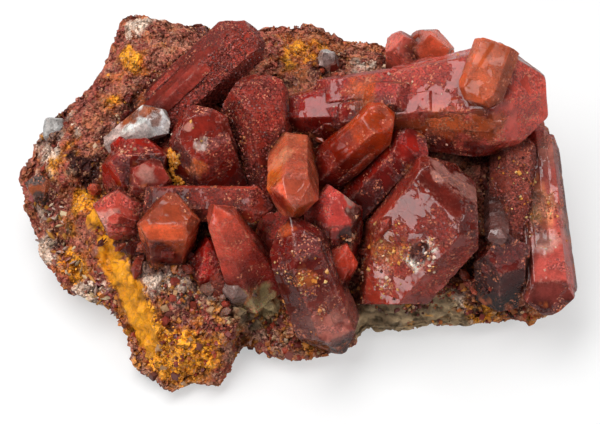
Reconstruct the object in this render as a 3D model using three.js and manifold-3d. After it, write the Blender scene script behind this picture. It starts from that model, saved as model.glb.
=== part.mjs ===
// Red quartz crystals standing on a piece of iron-stained matrix rock.
//
// Millimetres, +Z up. The rock lies on its broken underside, which is flat at z = 0, and the origin is the
// middle of that base. -Y is the show side: the crystals face FRONT, halfway between -Y and straight up.
//
// Every crystal is a convex body bounded by the planes of quartz: six prism faces round the c-axis and six
// rhombohedral faces that close the tip at the constant angle of the species. Only the distances of the
// planes from the axis change from crystal to crystal. The rock is one lofted body with a socket for each
// root. Crystals that grew through one another are one solid.

import * as THREE from "three";
import { ConvexGeometry } from "three/addons/geometries/ConvexGeometry.js";
import { mergeVertices } from "three/addons/utils/BufferGeometryUtils.js";
import Module from "manifold-3d";

const wasm = await Module();
wasm.setup();

const V = (x, y, z) => new THREE.Vector3(x, y, z);
const rad = THREE.MathUtils.degToRad;

// ---------------------------------------------------------------- driving dimensions

const SEAT_GAP = 0.2; // clearance between a root and its socket, and between two crystals that touch
const CAP_SLOPE = rad(38.2); // a rhombohedral face leans this far in from the prism face below it
const FACES = 6;
const FRONT = V(0, -0.5, 0.866); // the way the show side faces

// Each crystal: where its root ends and where its tip is, the distance across its prism at the tip end, and the
// turn of its first prism face from FRONT about the axis, in degrees. Options:
//   root    distance across the prism at the root end, when the crystal tapers
//   ends    true when the root end is free and closes with faces of its own
//   blunt   length that a break or a flat growth face takes off the tip
//   sides   how far each prism face lies from the axis, as a share of half the distance across
//   caps    how much further out than the tip each tip face crosses the axis, in mm
//   cuts    breaks: the outward direction of each and a point on it
const CRYSTALS = {
  great_crystal: [[-2.5, 9, 23], [46, 8.5, 30], 23, -19,
    { root: 6.4, blunt: 1.5, sides: [1, 1, 1, 1, 1, 1], caps: [3, 1.5, 3, 2, 1, 3.5],
      cuts: [[0.33, -0.95, -0.2, 34, -1, 28]] }],
  saddle_crystal: [[35, 12, 40.5], [30.5, 1, 36], 7.4, 12, { blunt: 1.6, sides: [0.75, 1, 1, 0.75, 1, 1] }],
  back_knob_left: [[20.5, 25, 12], [20, 25.5, 24.5], 6.6, 20, {}],
  back_knob_right: [[25.5, 25, 12], [25, 25, 25.5], 8, 0, {}],
  ridge_crystal: [[-32.5, 6, 13], [-5.5, 24.5, 31], 9.4, 8, { blunt: 2.8, caps: [1, 1, 0, 1, 0, 0] }],
  frosted_crystal: [[-4, -3.5, 12], [-8, 13.5, 32], 11, 14, { blunt: 2 }],
  clear_sliver: [[-34, 5, 19], [-22.5, 8, 25.5], 7, 20, { root: 3, blunt: 0.6 }],
  block_crystal: [[-28.5, -2, 13], [-28, 1.5, 28], 10.5, 10, { blunt: 2.5 }],
  mirror_crystal: [[-29.5, -5.5, 12], [-24.5, -2.5, 27], 7, 12, { blunt: 1 }],
  bench_crystal: [[-25, -7, 12], [-35.5, -9.5, 22], 8, 0, {}],
  arch_crystal: [[-14.5, -2.5, 12], [-18.5, 6, 31], 9.5, 20, { root: 14, blunt: 1.5 }],
  cigar_crystal: [[-26, -8, 21], [-4, -11.5, 26], 5.6, -20, {}],
  thumb_crystal: [[-23, -16, 11], [-22, -13, 30], 10.6, 5, { root: 6.4, blunt: 3.2 }],
  spire_crystal: [[-7, -19.5, 10], [-14, -14.5, 31], 4.6, 20, { root: 10.5 }],
  ruby_crystal: [[-15, -18.5, 8], [-15.5, -15.5, 20], 8.2, 10, {}],
  smoky_knob: [[-10, -21, 7], [-9.5, -20, 19], 7.6, 15, {}],
  shoulder_crystal: [[7.5, -30.5, 6], [-1.5, -15.5, 26.5], 10.2, 12,
    { root: 11.4, ends: true, caps: [1, 2, 3, 1, 2, 0] }],
  ember_crystal: [[5.5, -20.5, 11], [9, -17.5, 22], 5.6, 10, {}],
  prow_crystal: [[7, -15, 12], [6.5, -8.5, 27], 9.6, 8, { blunt: 1 }],
  shadow_crystal: [[-4.5, -14, 10], [-1.5, -9, 20], 8, 0, {}],
  lantern_crystal: [[-0.5, 4.5, 22], [-0.5, -15, 31], 8.4, -10, { ends: true }],
  flame_crystal: [[4, -2.5, 20], [17.5, 4, 33], 8.2, -15, { blunt: 0.8 }],
  wine_crystal: [[9.5, -7, 16], [22.5, 2.5, 28], 9, 8, {}],
  window_crystal: [[8, -21, 3], [30.5, -6.5, 32], 15.4, -12,
    { blunt: 4.5, sides: [0.74, 1.22, 1.2, 0.72, 1, 0.9], caps: [0, 3, 1, 2, 2, 3],
      cuts: [[0, -0.9, -0.5, 20, -22, 9], [-0.95, -0.1, 0.3, 11.5, -18, 13], [0, 0, -1, 20, -18, 3]] }],
  glass_prism: [[36, 1, 14], [35, -17.5, 22], 3.8, 10, { blunt: 1 }],
  plum_crystal: [[37, -20, 9], [36, -14.5, 22], 8.6, 15, {}],
  dusty_crystal: [[38.5, -12.5, 12], [39, 5, 24], 7, 10, {}],
  flank_crystal: [[43.5, 10, 17], [45, -26, 11], 9, 0, { root: 7, ends: true, blunt: 0.8 }],
  back_chip: [[-20, 27.5, 13], [-17.5, 30, 21], 5.5, 0, {}],
  west_point: [[-45, -0.5, 12], [-49, -1, 15.5], 4.6, 10, {}],
  west_pane: [[-43.5, 10, 14], [-45.5, 10.5, 19], 4.2, 10, {}],
  pale_chip: [[7.5, 26.5, 10], [5, 26, 18], 3.6, 0, {}],
};

// Crystals that grew through one another, guest first: the guest is part of its host's solid.
const JOINED = {
  saddle_crystal: "great_crystal",
  back_knob_right: "back_knob_left",
  mirror_crystal: "block_crystal",
  bench_crystal: "block_crystal",
};

// The rock's brow: its widest outline, clockwise from the west tip, as x, y and height.
const BROW = [
  [-50.5, 3.5, 10], [-49, 5.5, 13], [-47.5, 9, 14], [-44.5, 13, 16], [-40.5, 15.5, 18], [-37.5, 17.5, 20],
  [-35.5, 21.5, 20], [-34, 24.5, 21], [-33, 29, 21], [-32, 32, 21], [-29, 32.5, 21], [-26, 31.5, 21],
  [-21.5, 31, 20], [-18.5, 30.5, 20], [-15, 31.5, 17], [-10.5, 32, 15], [-5.5, 35.5, 13], [0, 35.5, 13],
  [3, 36, 13], [6, 34, 13], [8.5, 32.5, 13], [14.5, 31.5, 13], [20, 30.5, 12], [30, 28, 12], [42, 20.5, 13],
  [46.5, 11, 14], [47.5, 0, 13], [47.5, -10, 11], [47, -17.5, 8], [45, -22, 5], [40.5, -22.5, 5], [36, -22.5, 5],
  [31, -23.5, 5], [25.5, -23.5, 5], [18.5, -24.5, 5], [13, -24.5, 5], [9.5, -27.5, 5], [7, -29, 5],
  [2.5, -30, 4], [-2, -30, 4], [-6.5, -28, 4], [-9, -27.5, 4], [-11.5, -29.5, 3], [-13, -33.5, 3],
  [-15, -35, 3], [-18, -34, 3], [-22.5, -36, 3], [-25.5, -33.5, 3], [-28.5, -31.5, 3], [-29.5, -27.5, 4],
  [-31, -24.5, 5], [-32.5, -22, 6], [-36, -20, 7], [-41, -17.5, 7], [-44, -14, 7], [-46, -12, 8],
  [-47.5, -6.5, 8], [-49.5, -1.5, 9],
];

// Heights of the rock's upper surface at places inside the brow, as x, y and height.
const STAKES = [
  [-30, 26, 25], [-24, 24, 24], [-38, 10, 21], [-41, 3, 19], [-22, 14, 20], [-32, 4, 19], [-38, -3, 14],
  [-41, -12, 8], [-36, -16, 8], [-33, -8, 17], [-29, -17, 16], [-25, -8, 20], [-22, -21, 16], [-22, -28, 10],
  [-14, -23, 13], [-12, -14, 14], [-8, 0, 17], [-8, 10, 18], [-4, 24, 14], [3, 28, 14], [-6, -20, 12],
  [-4, -26, 7], [0, 4, 23], [2, 10, 21.5], [14, 9, 22], [26, 9, 21.5], [38, 9, 21], [4, -2, 21], [9, -7, 19],
  [7, -13, 15], [4, -18, 15], [8, -24, 8], [16, 22, 15], [28, 22, 15], [20, -18, 10], [28, -12, 13],
  [16, -22, 11], [26, -21.5, 11], [36, -21, 12], [38, -11, 15], [36, 0, 18], [44, 6, 16], [44, -8, 14], [43.5, -18, 11],
];

// ---------------------------------------------------------------- crystals

/** A point's distance limit along a normal: the plane of one crystal face. */
const plane = (normal, distance) => ({ n: normal, d: distance });

/** Growth never makes six equal faces: a steady, small difference for face k of crystal number `seed`. */
const uneven = (seed, k) => Math.sin(12.9 * seed + 4.7 * k);

/** The faces of crystal number `seed`, pushed out by `grow` for a socket. */
function crystalFaces([root, tip, across, turn, opt], seed, grow = 0) {
  const foot = V(...root);
  const axis = V(...tip).sub(foot);
  const length = axis.length();
  axis.normalize();
  const first = FRONT.clone().addScaledVector(axis, -FRONT.dot(axis)).normalize();
  const second = axis.clone().cross(first);
  const wide = across / 2;
  const taper = opt.root === undefined ? 0 : (wide - opt.root / 2) / length;
  const faces = [];
  const add = (normal, distance) => {
    const size = normal.length();
    const n = normal.clone().divideScalar(size);
    faces.push(plane(n, distance / size + n.dot(foot) + grow));
  };
  for (let k = 0; k < FACES; k++) {
    const phi = rad(turn + 60 * k);
    const out = first.clone().multiplyScalar(Math.cos(phi)).addScaledVector(second, Math.sin(phi));
    const share = opt.sides ? opt.sides[k] : 1 + 0.1 * uneven(seed, k);
    const lift = opt.caps ? opt.caps[k] : wide * (k % 2 ? 0.45 : 0.12) * (1 + uneven(seed + 3, k));
    add(out.clone().addScaledVector(axis, -taper * share), (wide - taper * length) * share);
    const cap = out.clone().multiplyScalar(Math.cos(CAP_SLOPE)).addScaledVector(axis, Math.sin(CAP_SLOPE));
    add(cap, Math.sin(CAP_SLOPE) * (length + lift));
    if (opt.ends) {
      const heel = out.clone().multiplyScalar(Math.cos(CAP_SLOPE)).addScaledVector(axis, -Math.sin(CAP_SLOPE));
      add(heel, Math.sin(CAP_SLOPE) * lift);
    }
  }
  if (opt.blunt) add(axis, length - opt.blunt);
  add(axis.clone().negate(), 0);
  for (const [nx, ny, nz, x, y, z] of opt.cuts ?? []) {
    const away = V(nx, ny, nz).normalize();
    add(away, away.dot(V(x, y, z).sub(foot)));
  }
  return faces;
}

/** The corners of the convex body inside all the planes: every three planes that meet on it. */
function corners(faces) {
  const found = [];
  const inside = (p) => faces.every((f) => f.n.dot(p) <= f.d + 1e-6);
  for (let a = 0; a < faces.length; a++)
    for (let b = a + 1; b < faces.length; b++)
      for (let c = b + 1; c < faces.length; c++) {
        const m = new THREE.Matrix3();
        m.set(...faces[a].n.toArray(), ...faces[b].n.toArray(), ...faces[c].n.toArray());
        if (Math.abs(m.determinant()) < 1e-4) continue;
        const p = V(faces[a].d, faces[b].d, faces[c].d).applyMatrix3(m.invert());
        if (inside(p) && !found.some((q) => q.distanceTo(p) < 0.02)) found.push(p);
      }
  return found;
}

const solidOf = (geometry) => {
  const g = geometry.clone();
  g.deleteAttribute("normal");
  g.deleteAttribute("uv");
  const m = mergeVertices(g, 1e-4);
  return new wasm.Manifold(
    new wasm.Mesh({
      numProp: 3,
      vertProperties: m.attributes.position.array,
      triVerts: new Uint32Array(m.index.array),
    }),
  );
};

const largest = (solid) => solid.decompose().reduce((a, b) => (b.volume() > a.volume() ? b : a));

function geometryOf(solid) {
  const mesh = solid.getMesh();
  const g = new THREE.BufferGeometry();
  g.setAttribute("position", new THREE.BufferAttribute(new Float32Array(mesh.vertProperties), 3));
  g.setIndex(new THREE.BufferAttribute(new Uint32Array(mesh.triVerts), 1));
  return g.toNonIndexed();
}

const crystalSolid = (row, seed, grow) => solidOf(new ConvexGeometry(corners(crystalFaces(row, seed, grow))));

// ---------------------------------------------------------------- the rock

const COLUMNS = 144; // round the brow
const TOP_ROWS = 14; // from the brow to the middle of the upper surface
const WALL_ROWS = 4; // from the base to the brow
const BASE_INSET = 0.88; // the base outline is the brow's, drawn in this far towards the origin
const CROWDING = 1.4; // how closely the rows of the upper surface crowd towards the brow
const SLOPE_WIDTH = 0.16; // share of the way in from the brow over which the surface climbs to its full height

/** Rolling lumps and sharp ledges of the broken rock, in mm, at a point. */
function rough(x, y, z) {
  const roll = Math.sin(0.42 * x + 0.6 * z + 1.3) * Math.sin(0.37 * y - 0.3 * z + 0.4);
  const ledge = 1 - 2 * Math.abs(Math.sin(0.31 * x - 0.45 * y + 0.5 * z));
  const crumb = Math.sin(1.3 * x + 0.7 * y) * Math.sin(1.1 * y - 0.9 * z + 2.0);
  return 0.7 * roll + 0.5 * ledge + 0.35 * crumb;
}

/** The upper surface inside the brow: a mean of the stakes, weighted by nearness. */
function upland(x, y) {
  let sum = 0;
  let weight = 0;
  for (const [sx, sy, sz] of STAKES) {
    const w = 1 / ((x - sx) ** 2 + (y - sy) ** 2 + 9) ** 2;
    sum += w * sz;
    weight += w;
  }
  return sum / weight;
}

function matrixGeometry() {
  const brow = new THREE.CatmullRomCurve3(BROW.map((p) => V(...p)), true, "centripetal");
  const ring = brow.getSpacedPoints(COLUMNS).slice(0, COLUMNS);
  const rows = [];
  rows.push(ring.map((p) => V(p.x * BASE_INSET, p.y * BASE_INSET, 0)));
  for (let r = 1; r <= WALL_ROWS; r++) {
    const t = r / WALL_ROWS;
    rows.push(
      ring.map((p) => {
        const reach = BASE_INSET + (1 - BASE_INSET) * Math.sin((t * Math.PI) / 2);
        const q = V(p.x * reach, p.y * reach, p.z * t);
        const push = 0.6 * rough(q.x, q.y, q.z) * Math.sin(Math.PI * Math.min(t, 0.8));
        return q.add(V(q.x, q.y, 0).setLength(push));
      }),
    );
  }
  for (let r = 1; r < TOP_ROWS; r++) {
    const t = 1 - (r / TOP_ROWS) ** CROWDING;
    rows.push(
      ring.map((p) => {
        const x = p.x * t;
        const y = p.y * t;
        const climb = THREE.MathUtils.smoothstep((1 - t) / SLOPE_WIDTH, 0, 1);
        const z = p.z + (upland(x, y) - p.z) * climb;
        return V(x, y, z + 0.9 * rough(x, y, z));
      }),
    );
  }
  const points = [V(0, 0, 0), ...rows.flat(), V(0, 0, upland(0, 0))];
  const at = (r, c) => 1 + r * COLUMNS + (c % COLUMNS);
  const last = points.length - 1;
  const index = [];
  for (let c = 0; c < COLUMNS; c++) {
    index.push(0, at(0, c), at(0, c + 1));
    index.push(last, at(rows.length - 1, c + 1), at(rows.length - 1, c));
    for (let r = 0; r + 1 < rows.length; r++) {
      index.push(at(r, c), at(r + 1, c), at(r + 1, c + 1));
      index.push(at(r, c), at(r + 1, c + 1), at(r, c + 1));
    }
  }
  const g = new THREE.BufferGeometry();
  g.setAttribute("position", new THREE.BufferAttribute(new Float32Array(points.flatMap((p) => p.toArray())), 3));
  g.setIndex(index);
  return g;
}

// ---------------------------------------------------------------- assembly

const LOOKS = {
  rock: { color: 0x7a4a32, roughness: 0.95, metalness: 0 },
  glossy: { color: 0x7c1e16, roughness: 0.18, metalness: 0 },
  frosted: { color: 0x74241c, roughness: 0.6, metalness: 0 },
  orange: { color: 0xb0401c, roughness: 0.35, metalness: 0 },
  clear: { color: 0x8f8278, roughness: 0.1, metalness: 0, transparent: true, opacity: 0.5 },
};

// Every crystal not listed here is glossy.
const FINISH = {
  ridge_crystal: "frosted",
  frosted_crystal: "frosted",
  cigar_crystal: "frosted",
  dusty_crystal: "frosted",
  lantern_crystal: "orange",
  flame_crystal: "orange",
  thumb_crystal: "orange",
  spire_crystal: "orange",
  ember_crystal: "orange",
  clear_sliver: "clear",
  smoky_knob: "clear",
  glass_prism: "clear",
  west_pane: "clear",
  pale_chip: "clear",
};

const group = new THREE.Group();
group.name = "quartz_on_matrix";

function addNode(name, solid, look) {
  const mesh = new THREE.Mesh(geometryOf(solid), new THREE.MeshStandardMaterial(look));
  mesh.name = name;
  group.add(mesh);
}

const names = Object.keys(CRYSTALS);
const bodies = new Map(names.map((n, i) => [n, crystalSolid(CRYSTALS[n], i)]));
const sockets = new Map(names.map((n, i) => [n, crystalSolid(CRYSTALS[n], i, SEAT_GAP)]));
for (const [guest, host] of Object.entries(JOINED)) {
  bodies.set(host, bodies.get(host).add(bodies.get(guest)));
  sockets.set(host, sockets.get(host).add(sockets.get(guest)));
}
const hosts = names.filter((n) => !(n in JOINED));

let rock = solidOf(matrixGeometry());
if (rock.volume() < 0) throw new Error("the rock is inside out");
for (const n of hosts) rock = rock.subtract(sockets.get(n));
addNode("matrix", largest(rock), LOOKS.rock);

// A crystal that meets an older neighbour stops a hair short of it.
hosts.forEach((n, i) => {
  let solid = bodies.get(n);
  for (const older of hosts.slice(0, i)) solid = solid.subtract(sockets.get(older));
  addNode(n, largest(solid), LOOKS[FINISH[n] ?? "glossy"]);
});

export default group;
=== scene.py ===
"""Red quartz crystals on iron-stained matrix rock: the visual model.

The rock is a loft with broken relief. Each crystal is a convex body of planes with rounded edges, growth
marks, smaller parallel growths and hollows. Grains, crumbs and seedling crystals are strewn over both.
Lengths in the tables are millimetres, as in the solids; meshes are written in metres. -Y is the show side.
"""

import itertools
import math
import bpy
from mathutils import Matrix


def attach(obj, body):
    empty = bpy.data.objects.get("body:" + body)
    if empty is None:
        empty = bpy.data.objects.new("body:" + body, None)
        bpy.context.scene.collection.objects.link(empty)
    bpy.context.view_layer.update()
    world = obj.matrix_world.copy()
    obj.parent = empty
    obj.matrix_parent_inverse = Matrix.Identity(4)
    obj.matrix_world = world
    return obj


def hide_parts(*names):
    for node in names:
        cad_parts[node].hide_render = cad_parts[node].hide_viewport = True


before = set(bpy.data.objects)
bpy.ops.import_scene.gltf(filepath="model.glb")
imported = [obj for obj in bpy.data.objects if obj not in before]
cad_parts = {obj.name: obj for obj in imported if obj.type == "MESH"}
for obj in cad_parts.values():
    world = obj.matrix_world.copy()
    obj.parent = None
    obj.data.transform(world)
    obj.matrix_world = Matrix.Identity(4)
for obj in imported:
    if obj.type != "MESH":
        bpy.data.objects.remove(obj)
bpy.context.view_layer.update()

from types import SimpleNamespace

import bpy
import numpy as np
from bpy.props import FloatProperty, FloatVectorProperty, IntProperty, PointerProperty

bl_info = {
    "name": "Quartz on Matrix",
    "version": (1, 0, 0),
    "blender": (4, 5, 0),
    "location": "View3D > Sidebar > Quartz",
    "description": "Builds a cluster of red quartz crystals on its matrix rock",
    "category": "Add Mesh",
}

MM = 0.001
BODY = "root"

# ------------------------------------------------------------------ crystals: sizes

FRONT = np.array([0.0, -0.5, 0.866])  # the way the show side faces
CAP_SLOPE = math.radians(38.2)  # a rhombohedral face leans this far in from the prism face below it
FACES = 6
EDGE_CROWDING = 1.4  # how strongly the rows of a face's mesh gather at its edges

# Growth marks: heights in mm.
TERRACE, STRIA, CHIP, SWELL = 0.05, 0.018, 0.22, 0.06
CHIP_REACH = 0.3  # how far from an edge the chips fade, in mm
EDGE_REACH = 0.25  # how far from an edge the wear and its painted edge highlight fade, in mm

# How much a face's tone, slow clouds and painted contact shade change a crystal's colour.
FACE_TONE, CLOUD_TONE, CONTACT_SHADE_TONE = 0.50, 0.18, 0.76

# Patterns of a crystal's colour: cell in mm and what is added to the crystal's seed.
TINT_DRIFT, PATCH_EDGE, TINT_CLOUDS, CRUST = (6.0, 50), (1.5, 70), (3.0, 90), (1.5, 110)
BURIAL_NOISE = (2.0, 37)  # the same for all crystals: cell in mm and seed

# Painted shade and a rusty crust where a crystal meets the rock or another crystal: heights above the rock
# and gaps to the next crystal, in mm, at which they begin and are full, and their share on a clear crystal.
SHADE_AND_CRUST_HEIGHTS = (3.6, 0.6)
SHADE_AND_CRUST_GAPS = (2.4, 0.0)
CLEAR_SHADE_AND_CRUST = 0.3

# Root, tip, distance across the prism at the tip end, turn of the first face from FRONT in degrees, and
# options:
#   root    distance across the prism at the root end, when the crystal tapers
#   ends    True when the root end is free and closes with faces of its own
#   blunt   length that a break or a flat growth face takes off the tip
#   sides   how far each prism face lies from the axis, as a share of half the distance across
#   caps    how much further out than the tip each tip face crosses the axis
#   cuts    breaks: the outward direction of each and a point on it
CRYSTALS = {
    "great_crystal": ((-2.5, 9, 23), (46, 8.5, 30), 23, -19,
                      {"root": 6.4, "blunt": 1.5, "sides": (1, 1, 1, 1, 1, 1),
                       "caps": (3, 1.5, 3, 2, 1, 3.5), "cuts": ((0.33, -0.95, -0.20, 34, -1, 28),)}),
    "saddle_crystal": ((35, 12, 40.5), (30.5, 1, 36), 7.4, 12,
                       {"blunt": 1.6, "sides": (0.75, 1, 1, 0.75, 1, 1)}),
    "back_knob_left": ((20.5, 25, 12), (20, 25.5, 24.5), 6.6, 20, {}),
    "back_knob_right": ((25.5, 25, 12), (25, 25, 25.5), 8, 0, {}),
    "ridge_crystal": ((-32.5, 6, 13), (-5.5, 24.5, 31), 9.4, 8,
                      {"blunt": 2.8, "caps": (1, 1, 0, 1, 0, 0)}),
    "frosted_crystal": ((-4, -3.5, 12), (-8, 13.5, 32), 11, 14, {"blunt": 2}),
    "clear_sliver": ((-34, 5, 19), (-22.5, 8, 25.5), 7, 20, {"root": 3, "blunt": 0.6}),
    "block_crystal": ((-28.5, -2, 13), (-28, 1.5, 28), 10.5, 10, {"blunt": 2.5}),
    "mirror_crystal": ((-29.5, -5.5, 12), (-24.5, -2.5, 27), 7, 12, {"blunt": 1}),
    "bench_crystal": ((-25, -7, 12), (-35.5, -9.5, 22), 8, 0, {}),
    "arch_crystal": ((-14.5, -2.5, 12), (-18.5, 6, 31), 9.5, 20, {"root": 14, "blunt": 1.5}),
    "cigar_crystal": ((-26, -8, 21), (-4, -11.5, 26), 5.6, -20, {}),
    "thumb_crystal": ((-23, -16, 11), (-22, -13, 30), 10.6, 5, {"root": 6.4, "blunt": 3.2}),
    "spire_crystal": ((-7, -19.5, 10), (-14, -14.5, 31), 4.6, 20, {"root": 10.5}),
    "ruby_crystal": ((-15, -18.5, 8), (-15.5, -15.5, 20), 8.2, 10, {}),
    "smoky_knob": ((-10, -21, 7), (-9.5, -20, 19), 7.6, 15, {}),
    "shoulder_crystal": ((7.5, -30.5, 6), (-1.5, -15.5, 26.5), 10.2, 12,
                         {"root": 11.4, "ends": True, "caps": (1, 2, 3, 1, 2, 0)}),
    "ember_crystal": ((5.5, -20.5, 11), (9, -17.5, 22), 5.6, 10, {}),
    "prow_crystal": ((7, -15, 12), (6.5, -8.5, 27), 9.6, 8, {"blunt": 1}),
    "shadow_crystal": ((-4.5, -14, 10), (-1.5, -9, 20), 8, 0, {}),
    "lantern_crystal": ((-0.5, 4.5, 22), (-0.5, -15, 31), 8.4, -10, {"ends": True}),
    "flame_crystal": ((4, -2.5, 20), (17.5, 4, 33), 8.2, -15, {"blunt": 0.8}),
    "wine_crystal": ((9.5, -7, 16), (22.5, 2.5, 28), 9, 8, {}),
    "window_crystal": ((8, -21, 3), (30.5, -6.5, 32), 15.4, -12,
                       {"blunt": 4.5, "sides": (0.74, 1.22, 1.2, 0.72, 1, 0.9), "caps": (0, 3, 1, 2, 2, 3),
                        "cuts": ((0, -0.9, -0.5, 20, -22, 9), (-0.95, -0.1, 0.3, 11.5, -18, 13),
                                 (0, 0, -1, 20, -18, 3))}),
    "glass_prism": ((36, 1, 14), (35, -17.5, 22), 3.8, 10, {"blunt": 1}),
    "plum_crystal": ((37, -20, 9), (36, -14.5, 22), 8.6, 15, {}),
    "dusty_crystal": ((38.5, -12.5, 12), (39, 5, 24), 7, 10, {}),
    "flank_crystal": ((43.5, 10, 17), (45, -26, 11), 9, 0, {"root": 7, "ends": True, "blunt": 0.8}),
    "back_chip": ((-20, 27.5, 13), (-17.5, 30, 21), 5.5, 0, {}),
    "west_point": ((-45, -0.5, 12), (-49, -1, 15.5), 4.6, 10, {}),
    "west_pane": ((-43.5, 10, 14), (-45.5, 10.5, 19), 4.2, 10, {}),
    "pale_chip": ((7.5, 26.5, 10), (5, 26, 18), 3.6, 0, {}),
}
SEED = {name: number for number, name in enumerate(CRYSTALS)}

# A guest crystal that is part of its host's solid.
HOST = {
    "saddle_crystal": "great_crystal",
    "back_knob_right": "back_knob_left",
    "mirror_crystal": "block_crystal",
    "bench_crystal": "block_crystal",
}

# Parallel growths: least and greatest height above the host's face in mm; where a growth starts and how far
# it runs, as shares of the host's length; and where it ends at the latest. A face that looks further down
# than GROWTH_LOWEST gets none.
GROWTH_STEP = (0.10, 0.42)
GROWTH_START = (0.0, 0.55)
GROWTH_RUN = (0.25, 0.50)
GROWTH_END = 0.92
GROWTH_LOWEST = -0.2
GROWTH_ROUNDING = 0.6  # rounding of a growth's edges as a share of its host's
GROWTH_DENSITY = 5
GROWTH_SEED = 900

# How many growths are tried on each host, and their least and greatest distance across as a share of its
# own.
GROWTHS = {
    "great_crystal": (12, 0.16, 0.36), "window_crystal": (6, 0.12, 0.26),
    "flank_crystal": (12, 0.22, 0.46), "shoulder_crystal": (7, 0.20, 0.42),
    "block_crystal": (4, 0.22, 0.42), "mirror_crystal": (3, 0.25, 0.45),
    "bench_crystal": (5, 0.24, 0.46), "arch_crystal": (4, 0.20, 0.42),
    "lantern_crystal": (4, 0.22, 0.42), "flame_crystal": (3, 0.22, 0.42),
    "wine_crystal": (4, 0.22, 0.45), "thumb_crystal": (3, 0.22, 0.40), "spire_crystal": (3, 0.20, 0.36),
    "ruby_crystal": (3, 0.22, 0.42), "prow_crystal": (5, 0.22, 0.44), "plum_crystal": (5, 0.24, 0.46),
    "saddle_crystal": (1, 0.24, 0.42), "back_knob_left": (3, 0.25, 0.45),
    "back_knob_right": (4, 0.25, 0.45), "ridge_crystal": (4, 0.20, 0.38),
    "shadow_crystal": (3, 0.25, 0.45), "ember_crystal": (2, 0.25, 0.45),
    "clear_sliver": (7, 0.20, 0.45), "frosted_crystal": (2, 0.2, 0.35),
}

# Colour at the root, colour at the tip, rounding of the edges in mm, and how dense the mesh is.
LOOKS = {
    "great_crystal": ((0.220, 0.009, 0.006), (0.480, 0.062, 0.042), 0.06, 22),
    "saddle_crystal": ((0.460, 0.082, 0.024), (0.420, 0.070, 0.020), 0.08, 16),
    "back_knob_left": ((0.540, 0.084, 0.056), (0.740, 0.140, 0.098), 0.10, 12),
    "back_knob_right": ((0.420, 0.045, 0.022), (0.600, 0.090, 0.040), 0.10, 12),
    "ridge_crystal": ((0.200, 0.022, 0.015), (0.230, 0.026, 0.016), 0.08, 18),
    "frosted_crystal": ((0.180, 0.018, 0.011), (0.240, 0.020, 0.011), 0.10, 16),
    "clear_sliver": ((0.750, 0.500, 0.430), (0.950, 0.880, 0.830), 0.05, 12),
    "block_crystal": ((0.170, 0.006, 0.003), (0.360, 0.013, 0.005), 0.07, 14),
    "mirror_crystal": ((0.18, 0.012, 0.008), (0.32, 0.030, 0.018), 0.06, 12),
    "bench_crystal": ((0.270, 0.026, 0.017), (0.440, 0.058, 0.038), 0.07, 12),
    "arch_crystal": ((0.070, 0.003, 0.002), (0.180, 0.013, 0.007), 0.08, 16),
    "cigar_crystal": ((0.310, 0.028, 0.015), (0.340, 0.031, 0.017), 0.06, 14),
    "thumb_crystal": ((0.160, 0.014, 0.008), (0.540, 0.085, 0.029), 0.10, 16),
    "spire_crystal": ((0.260, 0.021, 0.014), (0.460, 0.060, 0.032), 0.07, 16),
    "ruby_crystal": ((0.270, 0.004, 0.002), (0.500, 0.012, 0.005), 0.07, 12),
    "smoky_knob": ((0.240, 0.125, 0.105), (0.340, 0.190, 0.160), 0.07, 12),
    "shoulder_crystal": ((0.260, 0.058, 0.044), (0.110, 0.005, 0.003), 0.10, 16),
    "ember_crystal": ((0.460, 0.026, 0.012), (0.560, 0.045, 0.018), 0.10, 12),
    "prow_crystal": ((0.360, 0.030, 0.024), (0.440, 0.046, 0.036), 0.07, 14),
    "shadow_crystal": ((0.500, 0.046, 0.032), (0.720, 0.088, 0.062), 0.07, 12),
    "lantern_crystal": ((0.600, 0.120, 0.048), (0.540, 0.092, 0.044), 0.08, 14),
    "flame_crystal": ((0.100, 0.003, 0.002), (0.380, 0.032, 0.004), 0.12, 16),
    "wine_crystal": ((0.105, 0.004, 0.002), (0.235, 0.008, 0.004), 0.08, 14),
    "window_crystal": ((0.320, 0.032, 0.016), (0.170, 0.014, 0.008), 0.06, 20),
    "glass_prism": ((0.150, 0.045, 0.036), (0.250, 0.095, 0.080), 0.05, 12),
    "plum_crystal": ((0.055, 0.005, 0.004), (0.090, 0.008, 0.006), 0.07, 12),
    "dusty_crystal": ((0.300, 0.056, 0.038), (0.330, 0.070, 0.046), 0.08, 12),
    "flank_crystal": ((0.390, 0.078, 0.064), (0.410, 0.066, 0.050), 0.06, 18),
    "back_chip": ((0.34, 0.036, 0.018), (0.38, 0.042, 0.020), 0.06, 10),
    "west_point": ((0.20, 0.070, 0.055), (0.46, 0.300, 0.250), 0.05, 10),
    "west_pane": ((0.860, 0.760, 0.700), (0.950, 0.900, 0.860), 0.05, 10),
    "pale_chip": ((0.62, 0.380, 0.340), (0.80, 0.580, 0.540), 0.06, 8),
}
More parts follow.
